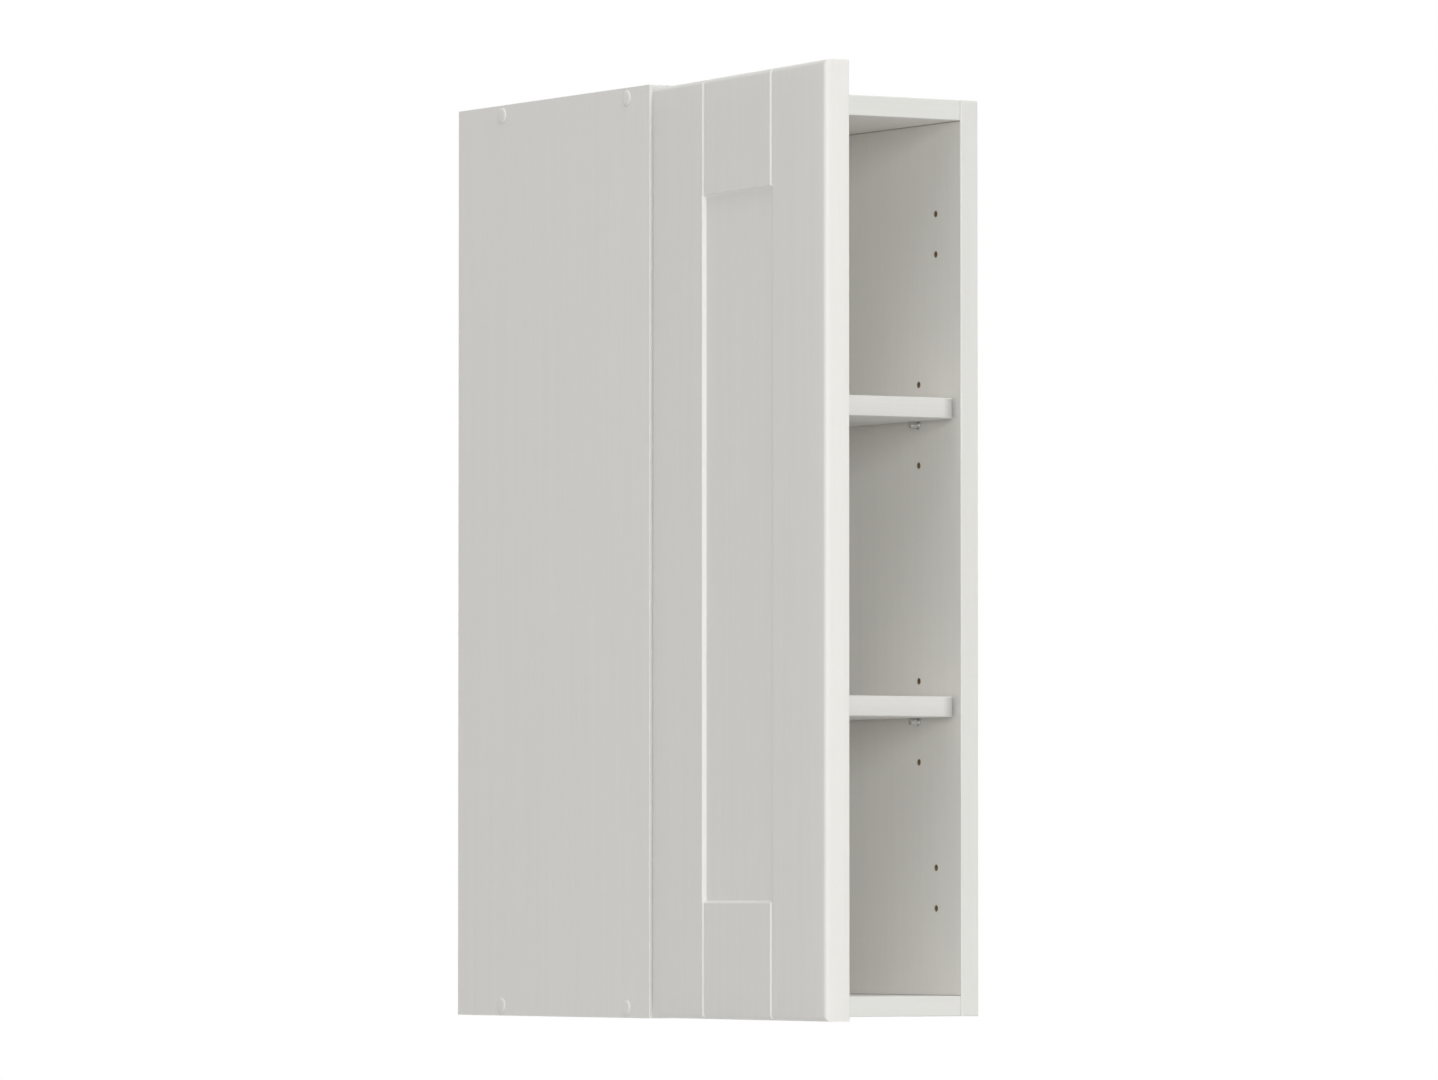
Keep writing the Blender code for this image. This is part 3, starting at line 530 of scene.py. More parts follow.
@dataclass(frozen=True)
class BoredBoard(Finish):
    """Wall of a hole drilled into chipboard along its own +Z: a pale broken rim over a dull brown bore."""

    name: str
    rim: Colour
    wood: Colour
    rim_depth: float = 0.00012
    rim_fade: float = 1.5
    rim_shade: Span = (0.93, 0.14)
    chip: Point = (0.0012, 0.0012, 0.0007)
    chip_shade: Span = (0.7, 0.45)
    dust: float = 0.0005
    dust_shade: float = 0.15
    roughness: Span = (0.95, -0.3)
    specular: float = 0.2
    depth: float = 0.00006

    def shader(self, graph: Graph) -> Wire:
        """Chips along the bore, with crumbs of coat at the rim.

        Args:
            graph: Node tree of the material.

        Returns:
            The surface.
        """
        place = graph.place()
        chips = graph.cells(place, self.chip)
        dust = graph.noise(place, (self.dust,) * 3, detail=3.0)
        wood = graph.shaded(self.wood, chips.over(self.chip_shade) + dust * self.dust_shade)
        rim = graph.shaded(self.rim, dust.over(self.rim_shade))
        level = graph.along(place, "Z") + (dust - 0.5) * self.rim_depth
        edge = graph.rise(level, -self.rim_fade * self.rim_depth, 0.0)
        return graph.surface(
            Base_Color=graph.mixed(edge, wood, rim), Roughness=edge.over(self.roughness),
            Normal=graph.relief(chips * 0.6 + dust * 0.4, self.depth), Specular_IOR_Level=self.specular,
        )


@dataclass(frozen=True)
class Plating(Finish):
    """Plated steel with a soft cloudy sheen and fine drawing lines."""

    name: str
    colour: Colour
    roughness: float
    cloud: float = 0.006
    cloud_shade: Span = (0.94, 0.12)
    cloud_gloss: Span = (0.5, 0.5)
    lines: Point = (0.0040, 0.0003, 0.0003)
    line_gloss: float = 0.5
    speck: float = 0.0005
    speck_levels: Span = (0.66, 0.78)
    speck_shade: float = 0.08
    speck_gloss: float = 0.3
    speck_metal: Span = (1.0, -0.1)
    depth: float = 0.000008

    def shader(self, graph: Graph) -> Wire:
        """Drawing lines in the roughness and relief, clouds in the tint.

        Args:
            graph: Node tree of the material.

        Returns:
            The surface.
        """
        place = graph.place()
        cloud = graph.noise(place, (self.cloud,) * 3, detail=3.0)
        lines = graph.noise(place, self.lines)
        specks = graph.rise(graph.noise(place, (self.speck,) * 3, detail=1.0), *self.speck_levels)
        gloss = cloud.over(self.cloud_gloss) + lines * self.line_gloss + specks * self.speck_gloss
        return graph.surface(
            Base_Color=graph.shaded(self.colour, cloud.over(self.cloud_shade) - specks * self.speck_shade),
            Metallic=specks.over(self.speck_metal), Roughness=self.roughness * gloss,
            Normal=graph.relief(lines * 0.7 + cloud * 0.3, self.depth),
        )


@dataclass(frozen=True)
class Moulding(Finish):
    """Moulded plastic with a fine eroded texture."""

    name: str
    colour: Colour
    roughness: float = 0.45
    texture: float = 0.00035
    texture_gloss: float = 0.14
    depth: float = 0.000015
    cloud: float = 0.012
    cloud_shade: Span = (0.98, 0.04)

    def shader(self, graph: Graph) -> Wire:
        """Fine texture in the relief and sheen, with slow clouds in the colour.

        Args:
            graph: Node tree of the material.

        Returns:
            The surface.
        """
        place = graph.place()
        texture = graph.noise(place, (self.texture,) * 3)
        return graph.surface(
            Base_Color=graph.shaded(self.colour, self.shade(graph, place)),
            Roughness=self.roughness + (texture - 0.5) * self.texture_gloss,
            Normal=graph.relief(texture, self.depth),
        )

    def shade(self, graph: Graph, place: Wire) -> Wire:
        """Slow clouds, as a factor for the colour."""
        return graph.noise(place, (self.cloud,) * 3).over(self.cloud_shade)


@dataclass(frozen=True)
class CapMoulding(Moulding):
    """Moulded cap round its own Z, with a painted shadow line along its rim."""

    radius: float = 0.0063
    rim: float = 0.0004
    rim_shade: float = 0.16

    def shade(self, graph: Graph, place: Wire) -> Wire:
        """Slow clouds and the painted shadow line at the rim.

        Args:
            graph: Node tree of the material.
            place: Position on the cap.

        Returns:
            Factor for the colour.
        """
        flat = graph.node("ShaderNodeVectorMath", {"operation": "MULTIPLY"}, {0: place, 1: (1.0, 1.0, 0.0)})
        # painted shadow where the cap's rim meets the board
        rim = graph.rise(graph.length(flat), self.radius - self.rim, self.radius)
        return super().shade(graph, place) - rim * self.rim_shade


@dataclass(frozen=True)
class StudioFloor(Finish):
    """Pale matt floor with hardly visible clouds, which runs out into white far from the cabinet."""

    name: str = "studio_floor"
    colour: Colour = srgb(236, 236, 235)
    cloud: float = 0.9
    cloud_shade: Span = (0.99, 0.02)
    roughness: Span = (0.75, 0.1)
    pale_to: float = 0.6
    white_from: float = 6.0

    def shader(self, graph: Graph) -> Wire:
        """Pale paint with a slow cloud, seen as plain white far away.

        Args:
            graph: Node tree of the material.

        Returns:
            The paint, mixed with plain white.
        """
        place = graph.place()
        cloud = graph.noise(place, (self.cloud,) * 3, detail=3.0)
        colour = graph.shaded(self.colour, cloud.over(self.cloud_shade))
        paint = graph.surface(Base_Color=colour, Roughness=cloud.over(self.roughness))
        white = graph.node("ShaderNodeEmission", {}, {"Color": WHITE, "Strength": 1.0})
        far = graph.rise(graph.length(place), self.pale_to, self.white_from)
        return graph.node("ShaderNodeMixShader", {}, {0: far * graph.seen(), 1: paint, 2: white})


BOARD_GREY = srgb(244, 241.6, 237.6)
# board grey made a shade darker for the shelves: painted shade of their set-back place between the sides
SHADED_SHELF_GREY = srgb(234, 231.7, 228.0)
NICKEL = Plating("nickel_plate", srgb(202, 198, 190), 0.30)
PIN_NICKEL = Plating("bright_nickel_plate", srgb(226, 227, 227), 0.22)
STEEL = Plating("zinc_plate", srgb(190, 192, 194), 0.36)
DARK_STEEL = Plating("screw_plate", srgb(172, 170, 166), 0.32)
CAP_PLASTIC = CapMoulding("cap_moulding", srgb(243, 240.6, 236.6), 0.5)
HANGER_PLASTIC = Moulding("hanger_moulding", srgb(205, 204, 200), 0.5)
COVER_PLASTIC = Moulding("cover_moulding", srgb(221, 220, 216), 0.42)
DOOR_FOIL = CoatedBoard("door_foil", BOARD_GREY, Grain.UPRIGHT)
BORE_CORE = BoredBoard("bore_core", srgb(222, 214, 200), srgb(122, 104, 84))


def loft(rings: Sequence[Sequence[Vector]], closed: bool = False) -> bmesh.types.BMesh:
    """Skin through rings of equal point counts.

    Args:
        rings: Rings of points, each in the same turning direction.
        closed: Whether the last ring joins the first; otherwise the end rings are capped.

    Returns:
        The closed shape, with its faces pointing out.
    """
    shape = bmesh.new()
    rows = [[shape.verts.new(point) for point in ring] for ring in rings]
    count = len(rows[0])
    for first, second in zip(rows, rows[1:] + rows[:1] if closed else rows[1:]):
        for i in range(count):
            j = (i + 1) % count
            shape.faces.new((first[i], first[j], second[j], second[i]))
    if not closed:
        shape.faces.new(reversed(rows[0]))
        shape.faces.new(rows[-1])
    bmesh.ops.recalc_face_normals(shape, faces=shape.faces)
    return shape


def turned(profile: Sequence[Span], segments: int, closed: bool = False) -> bmesh.types.BMesh:
    """Turned shape about Z.

    Args:
        profile: Radius and height of each point along the outline.
        segments: Number of steps around.
        closed: Whether the outline returns to its first point.

    Returns:
        The turned shape.
    """
    turns = [2 * math.pi * i / segments for i in range(segments)]
    return loft([[Vector((r * math.cos(a), r * math.sin(a), z)) for a in turns] for r, z in profile], closed)


def plain_mesh(shape: bmesh.types.BMesh, name: str) -> bpy.types.Mesh:
    """Mesh as the shape is.

    Args:
        shape: The shape, which is used up.
        name: Name of the mesh.

    Returns:
        The new mesh.
    """
    mesh = bpy.data.meshes.new(name)
    shape.to_mesh(mesh)
    shape.free()
    return mesh


def to_mesh(shape: bmesh.types.BMesh, name: str, crease: float = 35.0) -> bpy.types.Mesh:
    """Mesh that is shaded smooth except along creases.

    Args:
        shape: The shape, which is used up.
        name: Name of the mesh.
        crease: Angle in degrees above which an edge stays sharp.

    Returns:
        The new mesh.
    """
    mesh = plain_mesh(shape, name)
    mesh.shade_smooth()
    mesh.set_sharp_from_angle(angle=math.radians(crease))
    return mesh


def link(name: str, data: bpy.types.ID) -> bpy.types.Object:
    """Adds an object to the scene.

    Args:
        name: Name of the object.
        data: Its mesh, lamp or camera.

    Returns:
        The new object.
    """
    made = bpy.data.objects.new(name, data)
    bpy.context.scene.collection.objects.link(made)
    return made


def carved(shape: bmesh.types.BMesh, tools: bmesh.types.BMesh) -> bmesh.types.BMesh:
    """Cuts one shape out of another.

    Args:
        shape: The shape to cut, which is used up.
        tools: One or more closed shapes to take away, which are used up.

    Returns:
        The cut shape.
    """
    work, tool = (link("carving", plain_mesh(part, "carving")) for part in (shape, tools))
    cut = work.modifiers.new("cut", "BOOLEAN")
    cut.operation, cut.solver, cut.object = "DIFFERENCE", "EXACT", tool
    result = work.evaluated_get(bpy.context.evaluated_depsgraph_get()).to_mesh()
    made = bmesh.new()
    made.from_mesh(result)
    for part in (work, tool):
        mesh = part.data
        bpy.data.objects.remove(part)
        bpy.data.meshes.remove(mesh)
    return made


def node_shape(node: str) -> bmesh.types.BMesh:
    """Copy of a CAD node with its points welded.

    Args:
        node: Name of the node.

    Returns:
        The shape, in the same place.
    """
    shape = bmesh.new()
    shape.from_mesh(frame["nodes"][node].data)
    bmesh.ops.remove_doubles(shape, verts=shape.verts, dist=WELD)
    return shape


def softened(node: str, radius: float) -> bmesh.types.BMesh:
    """Copy of a CAD node with whole faces and rounded edges.

    Args:
        node: Name of the node.
        radius: Size of the rounding on sharp edges.

    Returns:
        The refined shape, in the same place.
    """
    shape = node_shape(node)
    bmesh.ops.dissolve_limit(shape, angle_limit=FLAT_ANGLE, verts=shape.verts, edges=shape.edges)
    sharp = [edge for edge in shape.edges if edge.is_manifold and edge.calc_face_angle(0.0) > SHARP_ANGLE]
    bmesh.ops.bevel(
        shape, geom=sharp, offset=radius, offset_type="OFFSET", segments=2, profile=0.5, affect="EDGES",
        clamp_overlap=True,
    )
    return shape


def facing(direction: Point, place: Iterable[float]) -> Matrix:
    """Placement that turns a shape's +Z to a direction and moves its origin to a place."""
    turn = Vector(direction).to_track_quat("Z", "Y").to_matrix().to_4x4()
    return Matrix.Translation(Vector(place)) @ turn


def add_piece(
    name: str,
    mesh: bpy.types.Mesh,
    finish: Finish,
    body: str = CARCASS,
    replaces: Sequence[str] = (),
    where: Matrix = Matrix(),
) -> None:
    """Adds a visible piece.

    Args:
        name: Name of the piece.
        mesh: Its mesh.
        finish: Its finish.
        body: Body that carries it.
        replaces: CAD nodes that it stands for.
        where: Placement at rest.
    """
    if not mesh.materials:
        mesh.materials.append(finish.material())
    piece = link(name, mesh)
    piece.matrix_world = where
    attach(piece, body)
    if replaces:
        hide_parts(*replaces)
    LOG.info("piece %s: %s, on %s", name, finish.name, body)


def paint_node(node: str, finish: Finish) -> None:
    """Gives a CAD node its finish.

    Args:
        node: Name of the node.
        finish: The finish, in the place of the slot's plain one.
    """
    mesh = frame["nodes"][node].data
    mesh.materials.clear()
    mesh.materials.append(finish.material())
    LOG.info("node %s: %s", node, finish.name)


def nodes_named(start: str) -> list[str]:
    """CAD nodes whose names begin with the given words, in order."""
    return sorted(name for name in frame["nodes"] if name.startswith(start))


def middle_of(node: str) -> Vector:
    """Middle of a CAD node's box."""
    low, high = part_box(node)
    return (low + high) / 2


@dataclass(frozen=True)
class CrossScrew:
    """Round screw head with a cross recess, standing on +Z with its seat at zero.

    The foot is given in shares of the radius and in heights, the dome in shares of the radius and the
    height, and the cross in shares of the radius.
    """

    radius: float
    height: float
    recess_depth: float = 0.0011
    recess_past: float = 0.0004
    recess_taper: Span = (0.45, 1.06)
    foot: tuple[Span, ...] = ((0.62, 0.0), (0.97, 0.0001))
    dome: tuple[Span, ...] = ((1.0, 0.35), (0.93, 0.72), (0.74, 0.93), (0.45, 1.0), (0.15, 1.0))
    arm_reach: float = 0.56
    arm_width: float = 0.15
    steps: int = 36

    def build(self, name: str) -> bpy.types.Mesh:
        """Mesh of the head.

        Args:
            name: Name of the mesh.

        Returns:
            A domed head with its recess cut in.
        """
        r, h = self.radius, self.height
        outline = [(share * r, level) for share, level in self.foot]
        outline += [(share * r, level * h) for share, level in self.dome]
        reach, wide = self.arm_reach * r, self.arm_width * r
        plus, quarter = [], [(reach, -wide), (reach, wide), (wide, wide)]
        for _ in range(4):
            plus += quarter
            quarter = [(-y, x) for x, y in quarter]
        levels = zip((h - self.recess_depth, h + self.recess_past), self.recess_taper)
        cutter = loft([[Vector((x * k, y * k, z)) for x, y in plus] for z, k in levels])
        return to_mesh(carved(turned(outline, self.steps), cutter), name)


@dataclass(frozen=True)
class BackNail:
    """Nail head pressed into a board whose face is at zero, facing +Z, and the dent round it."""

    radius: float = 0.0016
    outline: tuple[Span, ...] = ((0.5, -0.0006), (0.9, -0.0003), (0.9, -0.00018), (0.5, -0.0001))
    dent_floor: float = 0.95
    dent_mouth: float = 1.5
    dent_height: float = 0.0012
    steps: int = 20

    def build(self) -> bpy.types.Mesh:
        """Mesh of the head, whose outline gives shares of the radius and heights."""
        profile = [(share * self.radius, level) for share, level in self.outline]
        return to_mesh(turned(profile, self.steps), "back_nail")

    def add_dent(self, dents: bmesh.types.BMesh, where: Matrix) -> None:
        """Adds the cutter of one dent, which reaches as far out of the board as into it.

        Args:
            dents: Cutters so far.
            where: Placement of the nail.
        """
        bmesh.ops.create_cone(
            dents, cap_ends=True, segments=self.steps, radius1=self.radius * self.dent_floor,
            radius2=self.radius * self.dent_mouth, depth=self.dent_height, matrix=where,
        )


@dataclass(frozen=True)
class CoverCap:
    """Round cap with a soft edge, standing on +Z with its seat at zero."""

    slope: float = 0.0028
    foot_share: float = 0.6
    foot_gap: float = 0.00002
    rim: float = 0.00006
    rim_edge: float = 0.00005
    top_share: float = 0.3
    steps: int = 56
    crease: float = 50.0

    def build(self, name: str, radius: float, reach: float) -> bpy.types.Mesh:
        """Mesh of a cap.

        Args:
            name: Name of the mesh.
            radius: Outer radius.
            reach: Height over the seat.

        Returns:
            The turned cap.
        """
        outline = [
            (self.foot_share * radius, self.foot_gap), (radius - self.rim_edge, self.foot_gap),
            (radius, self.rim),
        ]
        for a in (math.radians(step) for step in ARC_STEPS[1:]):
            drawn, risen = self.slope * (1 - math.cos(a)), (reach - self.rim) * math.sin(a)
            outline.append((radius - drawn, self.rim + risen))
        outline.append((self.top_share * radius, reach))
        return to_mesh(turned(outline, self.steps), name, self.crease)


@dataclass(frozen=True)
class BoreLining:
    """Lining of an open hole that faces +Z: a round bare bore with a thin broken rim of coat at zero.

    The rim is given in distances past the seat and in heights, the floor in shares of the radius and in
    heights over the full depth.
    """

    radius: float = 0.0024
    depth: float = 0.0104
    tip: float = 0.0006
    tip_share: float = 0.5
    mouth: float = 0.00006
    mouth_depth: float = 0.0001
    seat_radius: float = 0.00266
    seat_gap: float = 0.00002
    wall: float = 0.0002
    rim: Span = (0.0003, 0.00005)
    rim_foot: Span = (0.00034, 0.00001)
    floor: tuple[Span, ...] = ((0.52, -0.0002), (0.52, -0.00002), (0.2, -0.0001))
    steps: int = 36

    def build(self) -> bpy.types.Mesh:
        """Mesh of the lining, with a floor that closes the bore's tip.

        Returns:
            The lining and its floor as one mesh.
        """
        r, seat, deep = self.radius, self.seat_radius, self.depth
        tip, under, (rim, rise) = self.tip_share * r, -deep - self.wall, self.rim
        outline = [
            (seat + self.rim_foot[0], self.rim_foot[1]), (seat + rim, rise), (r + self.mouth, rise),
            (r, -self.mouth_depth), (r, -deep + self.tip), (tip, -deep), (tip, under), (seat, under),
            (seat, -self.seat_gap),
        ]
        ring = turned(outline, self.steps, closed=True)
        floor = turned([(share * r, level - deep) for share, level in self.floor], self.steps)
        whole = plain_mesh(floor, "bore_floor")
        ring.from_mesh(whole)
        bpy.data.meshes.remove(whole)
        return to_mesh(ring, "bore_lining")


@dataclass
class Carcass:
    """Sides, top, bottom and back, with their holes, caps and nails."""

    side_joint: float = 0.0010
    top_joint: float = 0.0006
    hole_pitch: float = 0.032
    plate_setback: float = 0.037
    plate_hole_pitch: float = 0.032
    nail_edge: float = 0.006
    nail_gaps: int = 3
    flat_crease: float = 1.0

    def build(self) -> None:
        """Paints the boards and adds what is finer than the solids."""
        ceiling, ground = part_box("top_panel")[0].z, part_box("bottom_panel")[1].z
        for node, inward in (("left_side", 1), ("right_side", -1)):
            # painted shade lines in the inner corners where the top and bottom meet the sides
            joints = (ButtJoint("Z", level, self.side_joint) for level in (ceiling, ground))
            skin = Skin.of(node, inward, *joints)
            paint_node(node, CoatedBoard(f"coat_{node}", BOARD_GREY, Grain.UPRIGHT, skin))
        for node in ("top_panel", "bottom_panel"):
            # painted shade lines at the ends where the sides meet the top and bottom
            skin = Skin.of(node, 0, *(ButtJoint("X", corner.x, self.top_joint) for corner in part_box(node)))
            paint_node(node, CoatedBoard(f"coat_{node}", BOARD_GREY, Grain.ACROSS, skin))
        for node in nodes_named("connector_screw_"):
            paint_node(node, STEEL)
        self.build_back()
        self.build_caps()
        self.build_bores()

    def build_back(self) -> None:
        """The back with its nails pressed in along the rebate."""
        low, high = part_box("back_panel")
        x, z, gaps = high.x - self.nail_edge, high.z - self.nail_edge, self.nail_gaps
        spots = [(side * x, z * step / gaps) for side in (-1, 1) for step in range(-gaps, gaps + 1)]
        spots += [(x * step / gaps, end * z) for end in (-1, 1) for step in (-1, 1)]
        places = [facing((0, 1, 0), (along_x, 0.0, along_z)) for along_x, along_z in spots]
        nail, dents = BackNail(), bmesh.new()
        for where in places:
            nail.add_dent(dents, where)
        mesh = to_mesh(carved(node_shape("back_panel"), dents), "back_with_dents", self.flat_crease)
        board = Hardboard("fibre_back", BOARD_GREY, (low.y + high.y) / 2)
        add_piece("back_with_dents", mesh, board, replaces=["back_panel"])
        head = nail.build()
        for count, where in enumerate(places, 1):
            add_piece(f"back_nail_{count}", head, DARK_STEEL, where=where)

    def build_caps(self) -> None:
        """Round cover caps with soft edges, lying on the sides."""
        for node in nodes_named("cover_cap_"):
            low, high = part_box(node)
            side = 1 if high.x > 0 else -1
            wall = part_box("right_side" if side > 0 else "left_side")
            seat = abs((wall[1] if side > 0 else wall[0]).x)
            middle, radius, reach = (low + high) / 2, (high.z - low.z) / 2, max(high.x, -low.x) - seat
            mesh = CoverCap().build(f"{node}_disc", radius, reach)
            where = facing((side, 0, 0), (side * seat, middle.y, middle.z))
            add_piece(f"{node}_disc", mesh, CAP_PLASTIC, replaces=[node], where=where)

    def build_bores(self) -> None:
        """Linings of the open holes."""
        lining = BoreLining().build()
        for side, sign in (("left", -1), ("right", 1)):
            low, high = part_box(f"{side}_side")
            inner = low.x if sign > 0 else high.x
            for count, (y, z) in enumerate(self.open_holes(side), 1):
                where = facing((-sign, 0, 0), (inner, y, z))
                add_piece(f"bore_{side}_{count}", lining, BORE_CORE, where=where)

    def open_holes(self, side: str) -> list[Span]:
        """Depth and height of the holes of a side that hold no fitting.

        Args:
            side: left or right.

        Returns:
            Y and Z of each hole.
        """
        holes = []
        for node in nodes_named("shelf_pin_"):
            if side in node:
                middle = middle_of(node)
                holes += [(middle.y, middle.z + step * self.hole_pitch) for step in (-1, 1)]
        if side == "right":
            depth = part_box("right_side")[0].y + self.plate_setback
            for node in nodes_named("hinge_plate_"):
                level = middle_of(node).z
                holes += [(depth, level + half * self.plate_hole_pitch) for half, _ in PAIR]
        return holes


@dataclass(frozen=True)
class ShelfPin:
    """Stepped pin along +Z out of a wall at zero: shank, collar, peg and a slightly domed end.

    The end is given in distances inside the radius and below the reach.
    """

    radius: float = 0.0025
    shank: float = 0.0080
    shank_tip: float = 0.0004
    shank_tip_share: float = 0.8
    collar_radius: float = 0.0035
    collar_from: float = 0.0003
    collar_to: float = 0.0013
    collar_edge: float = 0.0002
    fillet: float = 0.0001
    reach: float = 0.0085
    end: tuple[Span, ...] = ((0.0, 0.0005), (0.0001, 0.0002), (0.0005, 0.0))
    end_share: float = 0.3
    steps: int = 48
    crease: float = 30.0

    def build(self) -> bpy.types.Mesh:
        """Mesh of a pin.

        Returns:
            The turned pin.
        """
        r, c, edge = self.radius, self.collar_radius, self.collar_edge
        start, stop = self.collar_from, self.collar_to
        outline = [
            (self.shank_tip_share * r, -self.shank), (r, self.shank_tip - self.shank), (r, start),
            (c - edge, start), (c, start + edge), (c, stop - edge), (c - edge, stop),
            (r + self.fillet, stop), (r, stop + self.fillet),
            *((r - inset, self.reach - drop) for inset, drop in self.end), (self.end_share * r, self.reach),
        ]
        return to_mesh(turned(outline, self.steps), "shelf_pin", self.crease)


@dataclass
class Shelves:
    """Loose shelves with round front corners, on stepped steel pins."""

    corner_radius: float = 0.010
    corner_steps: int = 14
    rear_radius: float = 0.0006
    least_radius: float = 0.00002
    edge_radius: float = 0.0009
    edge_steps: tuple[int, ...] = (0, 30, 60, 90)
    crease: float = 60.0

    def build(self) -> None:
        """Builds both shelves and all pins."""
        for node in ("lower_shelf", "upper_shelf"):
            low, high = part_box(node)
            # painted shade round the front corners and painted shadow at the ends
            band = CornerShadeBand(tuple(low), tuple(high), self.corner_radius)
            coat = CoatedBoard(f"coat_{node}", SHADED_SHELF_GREY, Grain.ACROSS, band=band)
            mesh = to_mesh(self.shelf(low, high), f"{node}_board", self.crease)
            add_piece(f"{node}_board", mesh, coat, replaces=[node])
        pin = ShelfPin().build()
        for node in nodes_named("shelf_pin_"):
            sign = 1 if "right" in node else -1
            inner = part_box("right_side")[0].x if sign > 0 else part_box("left_side")[1].x
            middle = middle_of(node)
            where = facing((-sign, 0, 0), (inner, middle.y, middle.z))
            add_piece(f"{node}_turned", pin, PIN_NICKEL, replaces=[node], where=where)

    def shelf(self, low: Vector, high: Vector) -> bmesh.types.BMesh:
        """One shelf in the place of its node, with soft edges all round.

        Args:
            low: Lowest corner of the shelf.
            high: Highest corner of the shelf.

        Returns:
            The shelf.
        """
        e = self.edge_radius
        steps = [math.radians(a) for a in self.edge_steps]
        levels = [(low.z + e - e * math.cos(a), e - e * math.sin(a)) for a in steps]
        levels += [(high.z - e + e * math.sin(a), e - e * math.cos(a)) for a in steps]
        return loft([self.outline(low, high, inset, z) for z, inset in levels])

    def outline(self, low: Vector, high: Vector, inset: float, z: float) -> list[Vector]:
        """Outline of a shelf at one level.

        Args:
            low: Lowest corner of the shelf.
            high: Highest corner of the shelf.
            inset: Distance that the outline is drawn in.
            z: Height of the level.

        Returns:
            Points around the outline.
        """
        points = []
        corners = (
            (high.x, high.y, self.rear_radius, 0), (low.x, high.y, self.rear_radius, 90),
            (low.x, low.y, self.corner_radius, 180), (high.x, low.y, self.corner_radius, 270),
        )
        for x, y, radius, start in corners:
            toward_x = 1 if x == low.x else -1
            toward_y = 1 if y == low.y else -1
            middle = Vector((x + toward_x * max(radius, inset), y + toward_y * max(radius, inset), z))
            for step in range(self.corner_steps + 1):
                a = math.radians(start + 90 * step / self.corner_steps)
                out = Vector((math.cos(a), math.sin(a), 0))
                points.append(middle + max(radius - inset, self.least_radius) * out)
        return points


